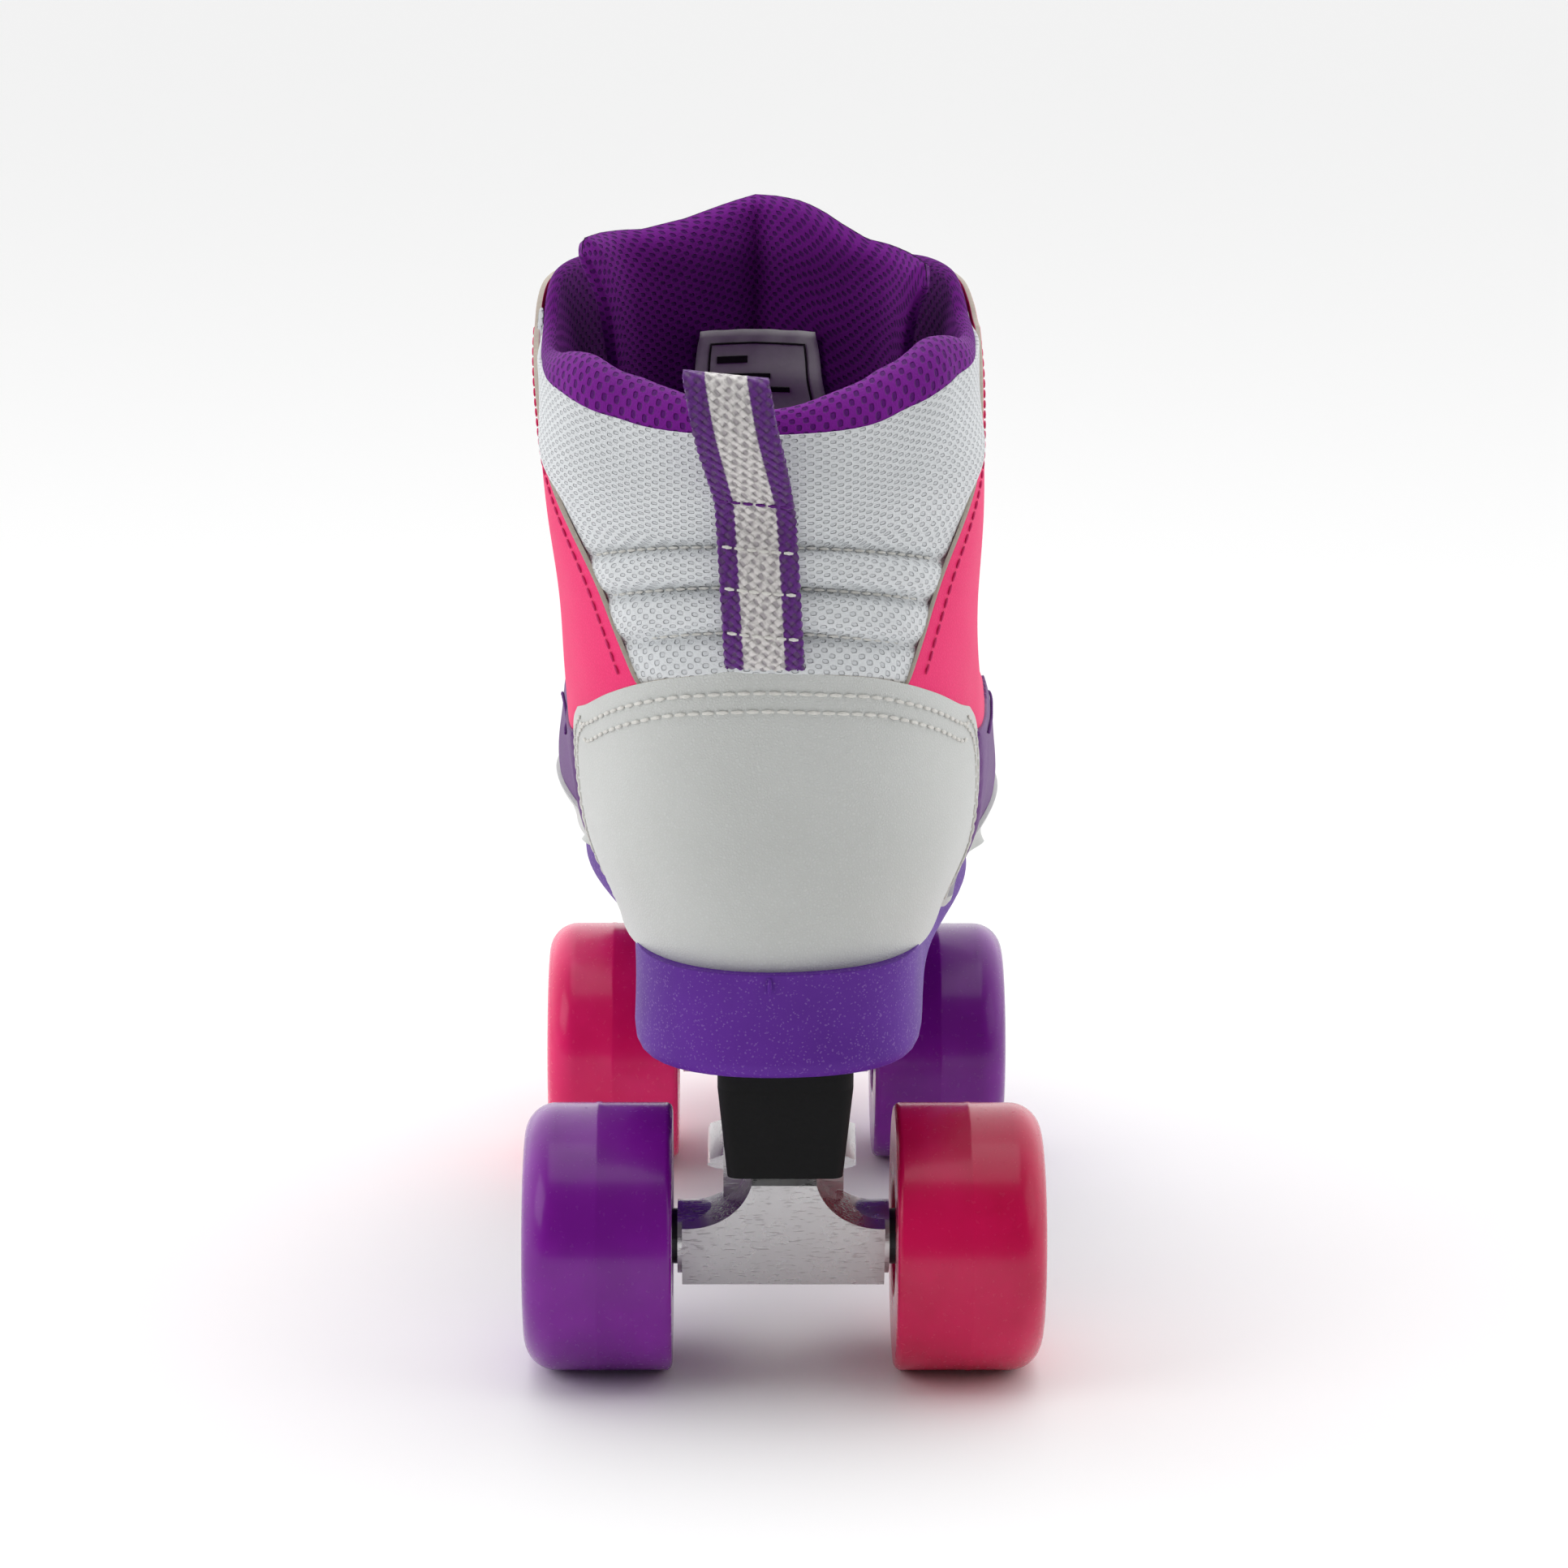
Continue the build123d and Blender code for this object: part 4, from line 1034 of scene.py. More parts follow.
    def toe_cap(self) -> None:
        """White leather over the toe."""
        bottom = self.around_toe(12, [(82, 11), (105, 11)])
        top = self.around_toe(62, [(80, 24), (86, 40), (89, 52)])
        sides = [np.vstack([bottom[i:i + 1 or None], top[i:i + 1 or None]]) for i in (0, -1)]
        bm = Panel(self.surface, bottom, top, sides[0], sides[1], 110, 44, 0.0018).mesh()
        piece = new_piece("toe_cap_leather", bm, self.palette["white_leather"], "root",
                          ["toe_cap"])
        thicken(piece, 0.0013, self.palette["raw_edge"], 0.0003)
        for index, inset in enumerate((3.5, 7.0)):
            row = self.around_toe(62 - inset * 0.75, [(80 + inset, 25), (86 + inset, 40),
                                                       (89 + inset, 52 - inset * 0.3)])
            self.seams.sew(f"toe_cap_stitches_{index + 1}", row, 0.0032, "white_thread",
                           "white_leather")

    def rand(self) -> None:
        """White band above the sole, with a thin rim that stands out."""
        stations = (-82, -50, -20, 10, 40, 70, 90, 112)
        low = [(y, float(self.sole_top(y * MM) - self.deck) / MM - 0.6) for y in stations]
        high = [(y, 23.5) for y in stations]
        bottom, top = self.around_toe(11.4, low), self.around_toe(23.5, high)

        def lift(turn: Array, z: Array) -> Array:
            """The rim stands out along the top, and ends where the counter covers it."""
            rim = 0.0010 + 0.0014 * np.clip((z - self.deck - 0.0200) / 0.0025, 0, 1)
            return rim - (rim + 0.0012) * self.counter_cover(turn, z, 6.0)
        bm = Panel(self.surface, bottom, top, np.vstack([bottom[:1], top[:1]]),
                   np.vstack([bottom[-1:], top[-1:]]), 200, 16, lift).mesh()
        piece = new_piece("rand_band", bm, self.palette["white_leather"], "root",
                          ["rand"])
        thicken(piece, 0.0010, None, 0.0003)

    def counter(self) -> None:
        """White leather heel counter with a rolled top, a small nib and two rows of stitches."""
        top_points, side_edge = list(self.counter_top), list(self.counter_side)
        top = self.around_heel(86.4, top_points)
        low = [(-124, 22.6), (-100, 22.6), (-82, 22.6), (-65, 21.5)]
        bottom = self.around_heel(22.6, low)
        right = self.surface.chart(1, side_edge[::-1])
        left = self.surface.chart(-1, side_edge[::-1])

        def lift(turn: Array, z: Array) -> Array:
            """Stand proud, with a soft fullness in the middle."""
            height = (z - self.deck) / MM
            return 0.0003 + 0.0003 * np.exp(-((height - 52) / 16) ** 2)
        panel = Panel(self.surface, bottom, top, left, right, 160, 64, lift)
        bm = panel.mesh()
        piece = new_piece("heel_counter_leather", bm, self.palette["white_leather"], "root",
                          ["heel_counter"])
        self._raise_nib(piece, self.nib_turn)
        thicken(piece, 0.0012, self.palette["raw_edge"], 0.00035)
        for index, inset in enumerate((4.2, 8.0)):
            row = self.around_heel(86.4 - inset, [(y, h - inset) for y, h in top_points[:-1]]
                                   + [(-87 - inset * 0.55, 70.5 - inset * 0.75)])
            self.seams.sew(f"counter_stitches_{index + 1}", row, 0.0017, "white_thread",
                           "white_leather")
            for side in Side:
                edge = [(y - inset * 0.8, h - inset * 0.3) for y, h in side_edge[:-1]]
                edge.append((side_edge[-1][0] - inset * 0.8, 24))
                self.seams.sew(f"counter_edge_stitches_{side.label}_{index + 1}",
                               self.surface.chart(side.value, edge), 0.0017, "white_thread",
                               "white_leather")

    def _raise_nib(self, piece: bpy.types.Object, turn: float) -> None:
        """Pull a small point up from the counter's top edge."""
        crest = self.deck + 0.0864
        spot_x = float(self.surface.skin(turn, crest)[0])
        for vertex in piece.data.vertices:
            if vertex.co.y < -0.1 and vertex.co.z > crest - 0.006:
                near = math.exp(-((vertex.co.x - spot_x) / 0.0022) ** 2)
                vertex.co.z += 0.0024 * near * min(1.0, (vertex.co.z - crest + 0.006) / 0.006)

    def collar_lining(self) -> None:
        """Purple mesh lining: the padded roll over the rim and the inside down to the footbed."""
        columns, rows, roll = 280, 120, 0.36
        deck = self.deck
        low_edge = {side: self.throat_edge(side, 70, 156) for side in Side}

        def front_limit(side: Side, z: Array) -> Array:
            """Turn at which the lining stops beside the throat."""
            edge = low_edge[side]
            limit = np.interp(z, edge[:, 1], np.abs(edge[:, 0]))
            shut = np.clip((z - deck - 0.060) / 0.012, 0, 1)
            return math.pi + (limit - math.pi) * shut

        def place(u: Array, v: Array) -> Array:
            """Points of the surface at shares across and up it."""
            share = 2 * u - 1
            down = np.clip((v - roll) / (1 - roll), 0, 1)
            nominal = deck + 0.155 - down * 0.135
            limit = np.where(share < 0, front_limit(Side.LEFT, nominal),
                             front_limit(Side.RIGHT, nominal))
            turn = share * limit
            rim = self.rim_at(turn)
            floor = self.sole_top(self.surface.skin(turn, deck + 0.030 + 0 * turn)[..., 1]) + 0.006
            angle = np.clip(v / roll, 0, 1) * math.pi * 1.04 - 0.10
            slim = 0.5 * np.clip((np.abs(turn) - 1.05) / 0.4, 0, 1)
            corner = np.exp(-((np.abs(turn) - 0.62) / 0.42) ** 4)
            tab = np.clip((np.abs(turn) - 1.05) / 0.3, 0, 1)
            start = self.surface.trim - 0.0006 + 0.0007 * tab
            end = (self.inset(rim) + 0.001) * (1 - slim) + 0.0045 * corner
            depth = start + (end - start) * (1 - np.cos(angle)) / 2
            wall = (self.inset(rim + (floor - rim) * down) + 0.001) * (1 - slim * (1 - down))
            wall = wall + 0.0045 * corner * np.clip(1 - down * 3.5, 0, 1)
            rolled = v < roll
            peak = 0.0046 + 0.0034 * corner - 0.0020 * tab
            z = np.where(rolled, rim - 0.0004 + peak * np.sin(angle), rim + (floor - rim) * down)
            depth = np.where(rolled, depth, wall)
            close = np.clip((np.abs(share) - 0.955) / 0.045, 0, 1)
            pinch = np.where(nominal > deck + 0.070, np.sqrt(np.clip(1 - close ** 2, 0, 1)), 1.0)
            depth = start + (depth - start) * (0.10 + 0.90 * pinch)
            return self.surface.inside(turn, z, depth)
        bm = mapped_grid(columns, rows, place)
        piece = new_piece("collar_lining", bm, self.palette["purple_mesh"], "root",
                          ["lining"])
        thicken(piece, 0.0006, levels=0, outward=-1.0)

    def footbed(self) -> None:
        """Fabric-covered footbed on its board."""
        def place(u: Array, v: Array) -> Array:
            """Points of the surface at shares across and up it."""
            turn = u * TAU
            rim_z = self.deck + 0.030 + 0 * turn
            edge = self.surface.inside(turn, rim_z, 0.0056)
            core_x, core_y = self.surface.core(rim_z)
            x = core_x + (edge[..., 0] - core_x) * v
            y = core_y + (edge[..., 1] - core_y) * v
            crown = 0.0012 * np.clip(1 - v ** 2, 0, 1) + 0.0022 * np.clip((v - 0.86) / 0.14, 0, 1) ** 2
            return np.stack([x, y, self.sole_top(y) + 0.0062 + crown], -1)
        bm = mapped_grid(128, 24, place, closed=True)
        bmesh.ops.recalc_face_normals(bm, faces=bm.faces)
        piece = new_piece("footbed_cover", bm, self.palette["purple_mesh"], "root",
                          ["footbed"])
        thicken(piece, 0.003, levels=0, outward=-1.0)

    def tongue_top(self, u: Array) -> Array:
        """Height of the tongue's top edge at a share across it."""
        crest = np.array([(-1.0, 162.5), (-0.92, 165.5), (-0.77, 165.8), (-0.55, 165.8), (-0.33, 167.6),
                          (-0.1, 171), (0.03, 172.4), (0.13, 172), (0.22, 171.2), (0.32, 169.2),
                          (0.4, 167), (0.54, 163.8), (0.76, 161.8), (0.93, 160.2), (1.0, 156)])
        return self.deck + np.interp(u, crest[:, 0], crest[:, 1]) * MM

    def tongue_place(self, u: Array, v: Array, depth_off: Array) -> Array:
        """Points of the tongue.

        Args:
            u: share across, from -1 on the inner side to 1.
            v: share from the bottom to the top edge.
            depth_off: distance behind the tongue's middle layer.

        Returns:
            Points in the row frame.
        """
        top = self.tongue_top(u)
        low = self.deck + 0.056
        z = low + (top - low) * v
        turn = math.pi - u * (0.36 + 0.94 * v ** 1.5)
        deep = np.clip(v * 3 - 1.4, 0, 1)
        crease = -0.0052 * np.exp(-np.abs(u) / 0.07) * deep
        lobes = 0.0022 * np.sin(np.clip(np.abs(u) * 1.3, 0, 1) * math.pi) * deep
        curl = -0.0026 * np.clip((v - 0.86) / 0.14, 0, 1) ** 2 * (1 - np.exp(-np.abs(u) / 0.15))
        depth = self.inset(z) + 0.0038 + crease + lobes + curl + depth_off
        return self.surface.inside(turn, z, depth)

    def tongue(self) -> None:
        """Padded tongue: purple mesh inside, white leather outside."""
        def place(u: Array, v: Array) -> Array:
            """Points of the surface at shares across and up it."""
            angle = u * TAU
            across = np.sign(np.cos(angle)) * np.abs(np.cos(angle)) ** 0.75
            end = np.sqrt(np.clip(1 - np.clip((v - 0.965) / 0.035, 0, 1) ** 2, 0, 1))
            crown = np.sign(np.sin(angle)) * np.abs(np.sin(angle)) ** 0.5
            return self.tongue_place(across, v, 0.0036 * crown * (0.05 + 0.95 * end))
        bm = mapped_grid(160, 110, place, closed=True,
                         paint=lambda u, v: 0 if u < 0.57 or u > 0.93 else 1)
        bmesh.ops.recalc_face_normals(bm, faces=bm.faces)
        piece = new_piece("tongue_pad", bm, self.palette["purple_mesh"], "root",
                          ["tongue"])
        piece.data.materials.append(self.palette["white_leather"])

    def label(self) -> None:
        """Blank size label sewn inside the tongue: a thin border and plain bars."""
        width, low, high = 0.0285, 0.118, 0.1425
        middle_x = -0.0049

        def on_tongue(x: Array, z: Array, off: float) -> Array:
            """Points on the inner face of the tongue, from x and height above the deck."""
            v = (z - 0.056) / 0.110
            for _ in range(4):
                across = np.arcsin(np.clip((x + 0.0055) / 0.040, -1, 1)) / (0.36 + 0.94 * v ** 1.5)
                v = (z - 0.056) / (self.tongue_top(across) - self.deck - 0.056)
            wave = 0.0004 * np.sin(x * 900) * (z > high - 0.003)
            smooth = 0.0052 * np.exp(-np.abs(across) / 0.07) * np.clip(v * 3 - 1.4, 0, 1)
            return self.tongue_place(across, v, off + wave + smooth)

        def patch(name: str, x0: float, x1: float, z0: float, z1: float, off: float,
                  material: str) -> bpy.types.Object:
            """One flat piece of the label."""
            def place(u: Array, v: Array) -> Array:
                """Points of the surface at shares across and up it."""
                return on_tongue(x0 + (x1 - x0) * u, z0 + (z1 - z0) * v, off)
            bm = mapped_grid(24, 16, place)
            bmesh.ops.reverse_faces(bm, faces=bm.faces)
            piece = new_piece(name, bm, self.palette[material], "root")
            thicken(piece, 0.0002, levels=0)
            return piece
        x0, x1 = middle_x - width / 2, middle_x + width / 2
        sheet = patch("size_label", x0, x1, low, high, 0.0046, "label_satin")
        line, edge = 0.0004, 0.003
        bars = [("top", x0 + edge, x1 - edge, high - edge - line, high - edge),
                ("left", x0 + edge, x0 + edge + line, low, high - edge),
                ("right", x1 - edge - line, x1 - edge, low, high - edge),
                ("bar_1", x0 + 0.005, x0 + 0.012, high - 0.0078, high - 0.0062),
                ("bar_2", x0 + 0.005, x0 + 0.017, high - 0.0115, high - 0.0103),
                ("bar_3", x0 + 0.005, x0 + 0.021, high - 0.0148, high - 0.0136)]
        for name, left, right, bottom, top in bars:
            patch(f"size_label_{name}", left, right, bottom, top, 0.0050, "label_ink")

    def pull_loop(self) -> None:
        """Woven pull loop, sewn up the back and folded over at the top."""
        deck, half, thick = self.deck, 0.0080, 0.0014
        back = [(h, float(self.surface.skin(0.0, deck + h)[1] - self.quilt(np.array(0.0),
                np.array(deck + h)))) for h in (0.082, 0.090, 0.0985, 0.107, 0.115, 0.121)]
        back[0] = (0.082, back[0][1] + 0.0026)
        outer = [(-0.0044 - 0.0026 * k / 5, y - 0.0012, deck + h) for k, (h, y) in enumerate(back)]
        join_x, join_y, join_z = outer[-1]
        top = deck + 0.1468
        outer += [(join_x - 0.0020, join_y - 0.0030, join_z + 0.008),
                  (join_x - 0.0040, join_y - 0.0052, join_z + 0.016),
                  (join_x - 0.0056, join_y - 0.0042, top - 0.0012),
                  (join_x - 0.0058, join_y - 0.0012, top),
                  (join_x - 0.0056, join_y + 0.0016, top - 0.0014),
                  (join_x - 0.0040, join_y + 0.0012, join_z + 0.016),
                  (join_x - 0.0020, join_y + 0.0006, join_z + 0.008),
                  (join_x, join_y + 0.0010, join_z)]
        path = smooth_line(outer, 240)

        def place(u: Array, v: Array) -> Array:
            """Points of the surface at shares across and up it."""
            x, y, z = (np.interp(v, np.linspace(0, 1, len(path)), path[:, k]) for k in range(3))
            wide = (half + 0.0006 * np.clip((z - join_z) / 0.01, 0, 1)) * (2 * u - 1)
            rib = 0.00022 * np.sin(u * TAU * 9) * np.sin(v * TAU * 52 + u * 9)
            hug = np.where(z < join_z, 0.5 * wide ** 2 / 0.04, 0.25 * wide ** 2 / 0.04)
            return np.stack([x + wide, y + hug + rib, z - wide * 0.10], -1)
        bm = mapped_grid(36, 330, place)
        bmesh.ops.recalc_face_normals(bm, faces=bm.faces)
        piece = new_piece("pull_loop_webbing", bm, self.palette["webbing"], "root",
                          ["pull_loop"])
        thicken(piece, thick, None, 0.0, levels=0, outward=0.0)
        for index, height in enumerate((0.121, *self.quilt_heights)):
            z = deck + height
            centre = np.interp(z, path[:100, 2], path[:100, 0])
            y = np.interp(z, path[:100, 2], path[:100, 1])
            x = np.linspace(-0.0075, 0.0075, 30)
            line = np.column_stack([centre + x, y - thick / 2 + 0.5 * x ** 2 / 0.04, z - x * 0.10])
            aim = np.tile((0.0, -1.0, 0.0), (len(line), 1))
            thread = "purple_thread" if index == 0 else "white_thread"
            new_piece(f"pull_loop_stitches_{index + 1}", stitches(line, aim, 0.0022, 0.0004),
                      self.palette[thread], "root")

    def eyelet_spots(self) -> dict[Side, list[Vector]]:
        """Middles of the eyelets on each side, from the lowest up."""
        bm = bmesh.new()
        bm.from_mesh(self.surface.nodes["eyelets"].data)
        bmesh.ops.remove_doubles(bm, verts=bm.verts, dist=1e-6)
        left, spots = set(bm.verts), []
        while left:
            stack, island = [left.pop()], []
            while stack:
                vertex = stack.pop()
                island.append(vertex.co.copy())
                for edge in vertex.link_edges:
                    other = edge.other_vert(vertex)
                    if other in left:
                        left.remove(other)
                        stack.append(other)
            spots.append(sum(island, Vector()) / len(island))
        bm.free()
        sides = {Side.LEFT: [], Side.RIGHT: []}
        for spot in spots:
            middle = float(self.surface.front_middle(spot.z))
            sides[Side.LEFT if spot.x < middle else Side.RIGHT].append(spot)
        return {side: sorted(found, key=lambda spot: spot.z) for side, found in sides.items()}

    def lace(self) -> None:
        """Braided lace that dives into each eyelet and crosses over the tongue."""
        spots = self.eyelet_spots()
        rows = len(spots[Side.LEFT])
        strands = [(Side.LEFT, 0, Side.RIGHT, 0, 0.0)]
        for row in range(rows - 1):
            strands.append((Side.LEFT, row, Side.RIGHT, row + 1, 0.0017))
            strands.append((Side.RIGHT, row, Side.LEFT, row + 1, -0.0012))
        for index, (side_a, row_a, side_b, row_b, raised) in enumerate(strands):
            ends = []
            for side, row, toward in ((side_a, row_a, 1), (side_b, row_b, -1)):
                spot = spots[side][row]
                z = spot.z
                turn = float(self.surface.turn_at(side.value, spot.y, z))
                normal = Vector(self.surface.normal(turn, z))
                edge_z = z + toward * 0.0022 * (row_a != row_b)
                share = (edge_z - self.deck - 0.078) / 0.107
                half = self.throat_low + (self.throat_high - self.throat_low) * share
                edge_turn = float(self.surface.front_turn(side.value, half, edge_z))
                edge = Vector(self.surface.point(edge_turn, edge_z, 0.0048))
                ends.append([spot - normal * 0.003, spot + normal * 0.0030,
                             (spot + edge) / 2 + normal * 0.0024, edge])
            middle = (ends[0][3] + ends[1][3]) / 2
            middle += Vector(self.surface.normal(math.pi, middle.z)) * (0.0012 + raised)
            path = ends[0] + [middle] + ends[1][::-1]
            curve = bpy.data.curves.new(f"lace_{index + 1}", "CURVE")
            curve.dimensions = "3D"
            spline = curve.splines.new("NURBS")
            spline.points.add(len(path) - 1)
            for point, co in zip(spline.points, path):
                point.co = (*co, 1.0)
            spline.order_u = 3
            spline.use_endpoint_u = True
            spline.resolution_u = 10
            curve.bevel_depth = 0.0015
            curve.bevel_resolution = 4
            curve.use_fill_caps = True
            curve.materials.append(self.palette["lace_braid"])
            piece = bpy.data.objects.new(f"lace_strand_{index + 1}", curve)
            bpy.context.scene.collection.objects.link(piece)
            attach(piece, "root")
            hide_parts("lace")


# ---- sole ---------------------------------------------------------------------------------
class Sole:
    """The moulded sole with its heel wedge."""

    edge_round = 0.0036

    def __init__(self, boot: Boot, palette: Palette) -> None:
        """Measure the CAD sole's outline."""
        self.boot, self.palette = boot, palette
        node = boot.surface.nodes["sole"].data
        tree = BVHTree.FromPolygons([v.co for v in node.vertices],
                                    [list(p.vertices) for p in node.polygons])
        self.turns = np.linspace(0, TAU, 361)
        level = boot.deck + 0.009
        radius = []
        for turn in self.turns:
            aim = Vector((math.sin(turn), -math.cos(turn), 0))
            hit = tree.ray_cast(aim * 0.3 + Vector((-0.0015, 0, level)), -aim)
            radius.append(0.3 - hit[3])
        self.radius = np.array(radius)

    def build(self) -> None:
        """Build the sole and the small moulding nub at its back."""
        deck = self.boot.deck

        def place(u: Array, v: Array) -> Array:
            """Points of the surface at shares across and up it."""
            turn = u * TAU
            radius = np.interp(turn, self.turns, self.radius)
            y_edge = -radius * np.cos(turn)
            top = self.boot.sole_top(y_edge)
            spring = np.interp(y_edge, (0.100, 0.112, 0.127, 0.135), (0, 0.0012, 0.005, 0.008))
            low = deck + spring
            share = np.clip((v - 0.12) / 0.18, 0, 1) * math.pi / 2
            rounding = self.edge_round * (1 - np.sin(share))
            height = np.where(v < 0.12, 0.0, self.edge_round * (1 - np.cos(share)))
            rise = np.clip((v - 0.30) / 0.42, 0, 1)
            z = low + height + rise * (top - low - self.edge_round)
            r = np.where(v < 0.12, (radius - self.edge_round) * v / 0.12, radius - rounding)
            r = np.where(v > 0.72, radius - 0.35 * radius * np.clip((v - 0.74) / 0.26, 0, 1), r)
            draft = 0.0008 * np.sin(rise * math.pi) * (v > 0.3) * (v < 0.72)
            r = r - draft
            return np.stack([-0.0015 + r * np.sin(turn), -r * np.cos(turn), z], -1)
        bm = mapped_grid(220, 70, place, closed=True)
        bmesh.ops.recalc_face_normals(bm, faces=bm.faces)
        new_piece("sole_unit", bm, self.palette["purple_sole"], "root", ["sole"])
        nub = bmesh.new()
        spot = Vector((-0.0035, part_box("sole")[0].y - 0.0003, deck + 0.0205))
        bmesh.ops.create_uvsphere(nub, u_segments=12, v_segments=8, radius=1.0,
                                  matrix=Matrix.Translation(spot)
                                  @ Matrix.Diagonal((0.0005, 0.0006, 0.0019, 1)))
        new_piece("sole_moulding_nub", nub, self.palette["purple_sole"], "root")


# ---- wheels -------------------------------------------------------------------------------
@dataclass
class Wheel:
    """One urethane tyre, turned about its axle."""

    node: str
    body: str
    finish: str
    slot: str
    palette: Palette
    outer_round: float = 0.007
    inner_round: float = 0.0015
    hub_radius: float = 0.013
    dish: float = 0.006
    dish_widening: float = 0.005
    steps: int = 144
    ridge: float = 0.00014

    def profile(self) -> list[tuple[float, float]]:
        """Points of the half section: place along the axle from the inner face, and radius."""
        low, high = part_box(self.node)
        width, radius = high.x - low.x, (high.z - low.z) / 2
        points = [(0.0, self.hub_radius + 0.0004), (0.0, 0.019), (0.0, radius - self.inner_round)]
        for k in range(1, 6):
            angle = k / 5 * math.pi / 2
            points.append((self.inner_round * (1 - math.cos(angle)),
                           radius - self.inner_round * (1 - math.sin(angle))))
        middle = width * 0.5
        points += [(middle - 0.0009, radius), (middle - 0.0003, radius + self.ridge),
                   (middle + 0.0003, radius + self.ridge), (middle + 0.0009, radius)]
        for k in range(0, 11):
            angle = k / 10 * math.pi / 2
            points.append((width - self.outer_round * (1 - math.sin(angle)),
                           radius - self.outer_round * (1 - math.cos(angle))))
        points += [(width, self.hub_radius + self.dish_widening + 0.0012),
                   (width - 0.0004, self.hub_radius + self.dish_widening + 0.0003),
                   (width - self.dish + 0.0006, self.hub_radius + 0.0006),
                   (width - self.dish, self.hub_radius)]
        return points + [(0.0005, self.hub_radius)]

    def build(self) -> None:
        """Spin the section into a tyre."""
        low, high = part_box(self.node)
        side = 1 if low.x > 0 else -1
        inner = low.x if side > 0 else high.x
        centre = (low + high) / 2
        bm = bmesh.new()
        verts = [bm.verts.new((inner + side * x, centre.y, centre.z + r)) for x, r in self.profile()]
        edges = [bm.edges.new(pair) for pair in zip(verts, verts[1:] + verts[:1])]
        bmesh.ops.spin(bm, geom=verts + edges, cent=centre, axis=(1, 0, 0), dvec=(0, 0, 0),
                       angle=TAU, steps=self.steps, use_merge=True)
        bmesh.ops.remove_doubles(bm, verts=bm.verts, dist=1e-6)
        bmesh.ops.recalc_face_normals(bm, faces=bm.faces)
        new_piece(f"{self.node}_cast", bm, self.palette[self.finish], self.body, [self.node])


# ---- CAD pieces that keep their shape -----------------------------------------------------
class Hardware:
    """Finishes of the CAD nodes that show as they are."""

    finishes = {
        "hanger": "polished_aluminium", "axle": "zinc_steel", "axle_nuts": "zinc_steel",
        "axle_washers": "dark_washer", "bearing_inner_races": "bearing_steel",
        "bearing_spacers": "bearing_steel", "kingpin": "zinc_steel", "kingpin_nut": "zinc_steel",
        "cushion_upper": "purple_rubber", "cushion_lower": "purple_rubber",
        "cushion_retainers": "zinc_steel", "pivot_cup": "black_nylon", "hub": "hub_white",
        "bearings": "bearing_steel", "chassis_plate": "black_nylon", "plate_screws": "zinc_steel",
        "toe_stop_pad": "stop_rubber", "toe_stop_bolt": "zinc_steel",
        "toe_stop_nut_and_washer": "zinc_steel", "lasting_board": "raw_edge",
        "eyelets": "zinc_steel",
    }

    def __init__(self, palette: Palette) -> None:
        """Keep the palette."""
        self.palette = palette

    def build(self, nodes: dict[str, bpy.types.Object]) -> None:
        """Give each node the finish of the longest name that its own name ends with."""
        for node, piece in nodes.items():
            matches = [key for key in self.finishes if node.endswith(key)]
            if matches:
                finish = self.finishes[max(matches, key=len)]
                piece.data.materials.clear()
                piece.data.materials.append(self.palette[finish])
                log.info("node %s: %s", node, finish)


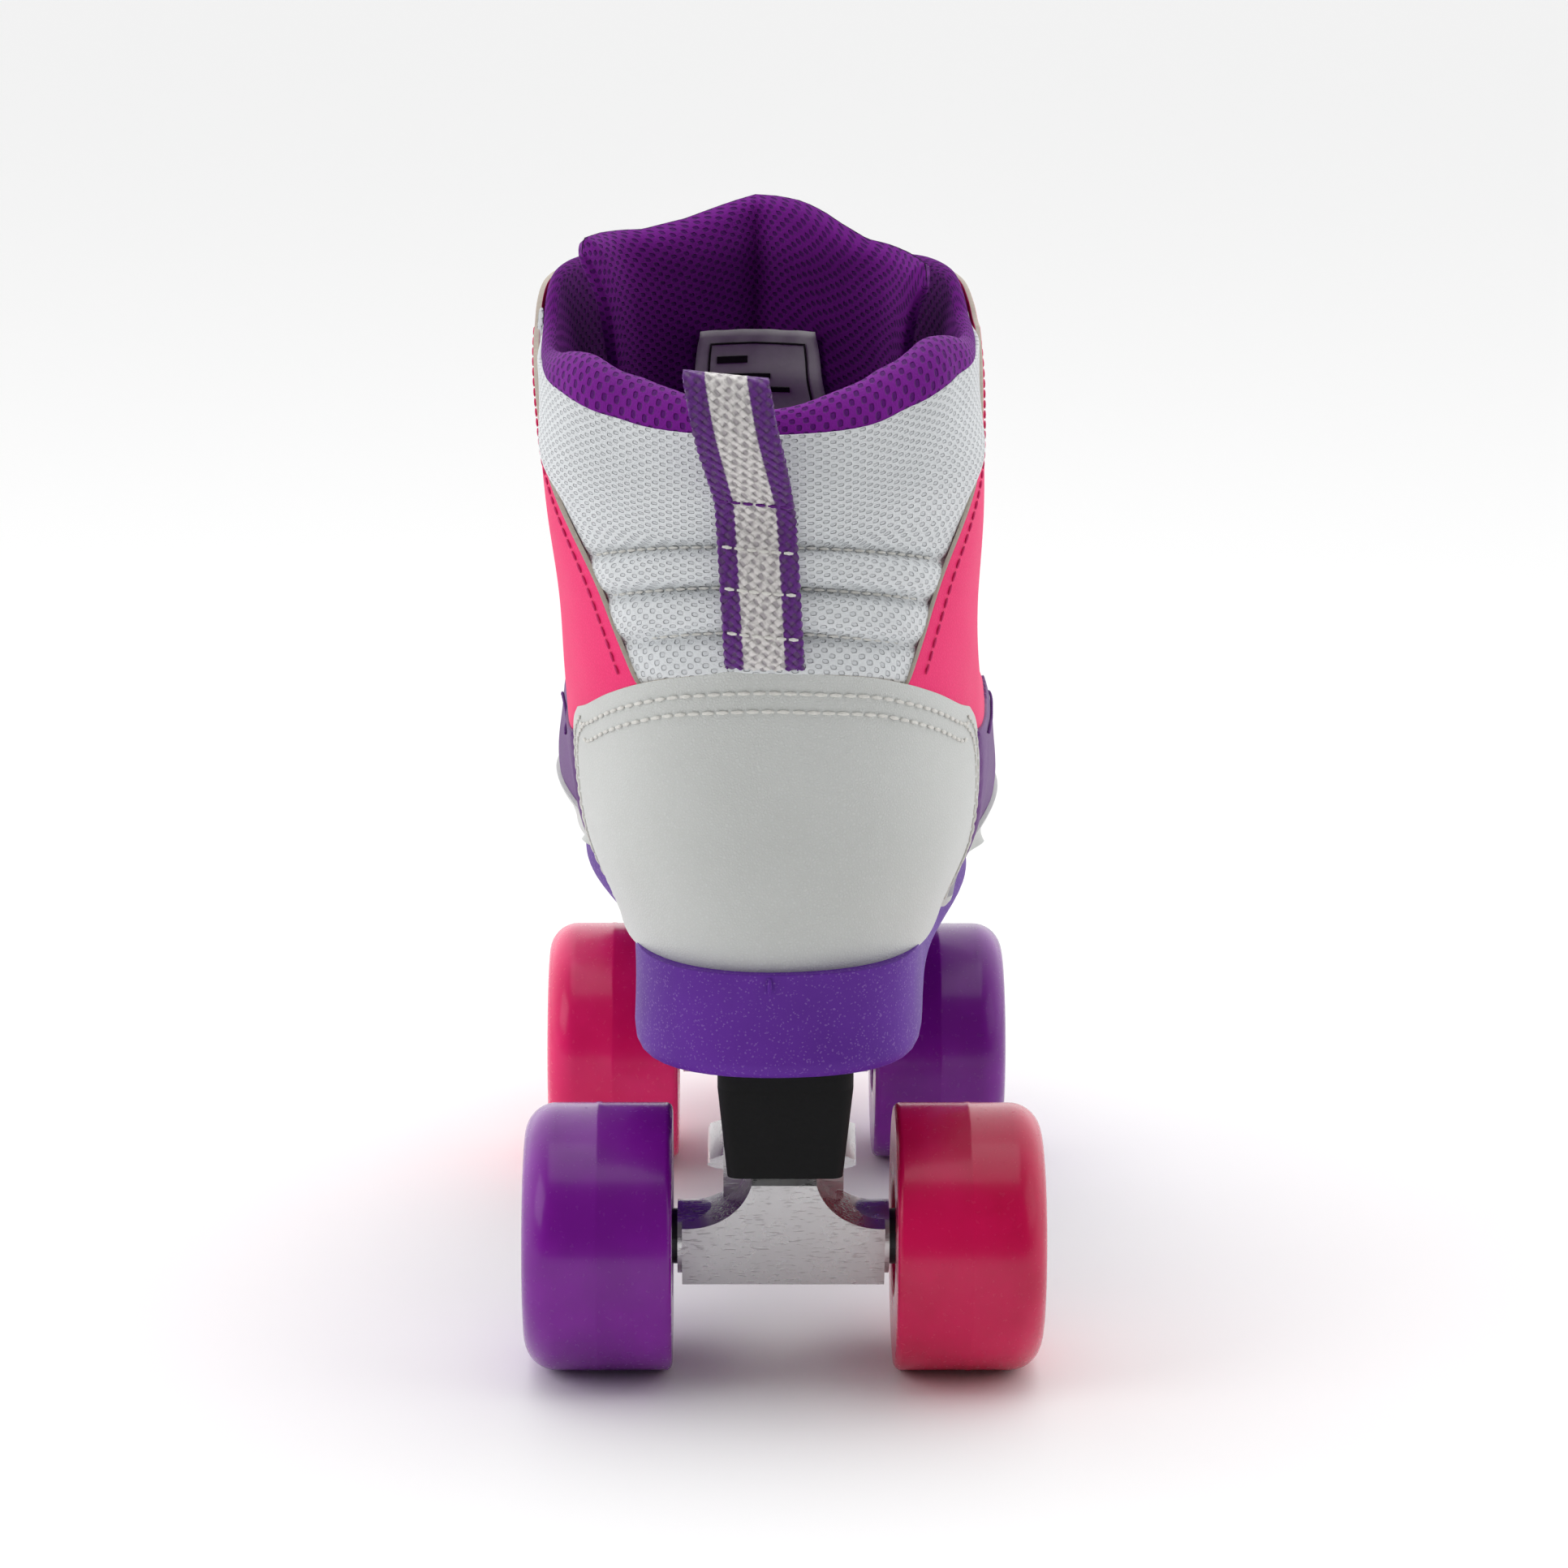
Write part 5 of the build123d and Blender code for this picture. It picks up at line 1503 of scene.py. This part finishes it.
# ---- studio -------------------------------------------------------------------------------
class Studio:
    """Camera, pale floor and soft light."""

    lens_mm = 106.2
    camera_place = (0.001037, -1.050283, 0.356852)
    pitch_down = 0.232937
    skate_turn = 0.0136836
    roll = 0.00466429
    dim_side = (0.0, -0.97, 0.24)

    def build(self) -> None:
        """Set up the camera, the floor and the lights."""
        scene = bpy.context.scene
        scene.view_settings.view_transform = "Standard"
        camera = bpy.data.cameras.new("camera")
        camera.lens = self.lens_mm
        camera.sensor_width = 36.0
        camera.clip_start, camera.clip_end = 0.01, 50.0
        seen = bpy.data.objects.new("camera", camera)
        scene.collection.objects.link(seen)
        turn = Matrix.Rotation(-self.skate_turn, 4, "Z")
        aim = (turn @ Matrix.Translation(self.camera_place)
               @ Matrix.Rotation(math.pi / 2 - self.pitch_down, 4, "X")
               @ Matrix.Rotation(self.roll, 4, "Z"))
        seen.matrix_world = aim
        scene.camera = seen
        self.floor()
        self.lights(scene)

    def floor(self) -> None:
        """A wide pale floor."""
        bm = bmesh.new()
        bmesh.ops.create_grid(bm, x_segments=1, y_segments=1, size=30.0)
        mesh = bpy.data.meshes.new("floor")
        bm.to_mesh(mesh)
        bm.free()
        graph = Graph("floor_paper")
        mesh.materials.append(graph.finish((0.99, 0.99, 0.99, 1), 0.9, None, Specular_IOR_Level=0.1))
        floor = bpy.data.objects.new("floor", mesh)
        bpy.context.scene.collection.objects.link(floor)

    def lights(self, scene: bpy.types.Scene) -> None:
        """A bright even surround with three large soft panels."""
        world = bpy.data.worlds.new("surround")
        world.use_nodes = True
        nodes, links = world.node_tree.nodes, world.node_tree.links
        toward = nodes.new("ShaderNodeVectorMath")
        toward.operation = "DOT_PRODUCT"
        toward.inputs[1].default_value = self.dim_side
        links.new(nodes.new("ShaderNodeTexCoord").outputs["Generated"], toward.inputs[0])
        ramp = nodes.new("ShaderNodeMapRange")
        ramp.interpolation_type = "SMOOTHSTEP"
        for key, value in (("From Min", -0.35), ("From Max", 0.8), ("To Min", 1.55), ("To Max", 0.13)):
            ramp.inputs[key].default_value = value
        links.new(toward.outputs["Value"], ramp.inputs["Value"])
        back = nodes["Background"]
        back.inputs["Color"].default_value = (1, 1, 1, 1)
        links.new(ramp.outputs["Result"], back.inputs["Strength"])
        scene.world = world
        for name, place, target, size, power in (
                ("left_panel", (-1.0, -0.55, 0.75), (0, 0, 0.12), 0.7, 3.0),
                ("right_panel", (1.0, -0.45, 0.65), (0, 0, 0.12), 0.7, 1.1),
                ("top_panel", (0.0, -0.2, 1.4), (0, 0, 0.1), 1.0, 4.0)):
            light = bpy.data.lights.new(name, "AREA")
            light.energy, light.size = power, size
            lamp = bpy.data.objects.new(name, light)
            scene.collection.objects.link(lamp)
            lamp.location = place
            lamp.rotation_euler = (Vector(target) - Vector(place)).to_track_quat("-Z", "Y").to_euler()


def main() -> None:
    """Build the skate's looks around the frame."""
    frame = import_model()
    palette = Palette()
    surface = BootSurface(frame["nodes"], [
        "heel_counter", "back_panel", "quarter_left", "quarter_right",
        "side_panel_left", "side_panel_right", "rand", "toe_cap", "vamp", "eyestay_left",
        "eyestay_right"])
    Hardware(palette).build(frame["nodes"])
    boot = Boot(surface, palette)
    boot.build()
    Sole(boot, palette).build()
    for end, side, finish, slot in (("rear", "left", "purple_urethane", "purple_urethane_clear"),
                                    ("rear", "right", "crimson_urethane", "pink_urethane"),
                                    ("front", "left", "pink_urethane", "pink_urethane"),
                                    ("front", "right", "purple_urethane", "purple_urethane_clear")):
        Wheel(f"{end}_{side}_tyre", f"{end}_{side}_wheel", finish, slot, palette).build()
    Studio().build()


if __name__ == "__main__":
    main()
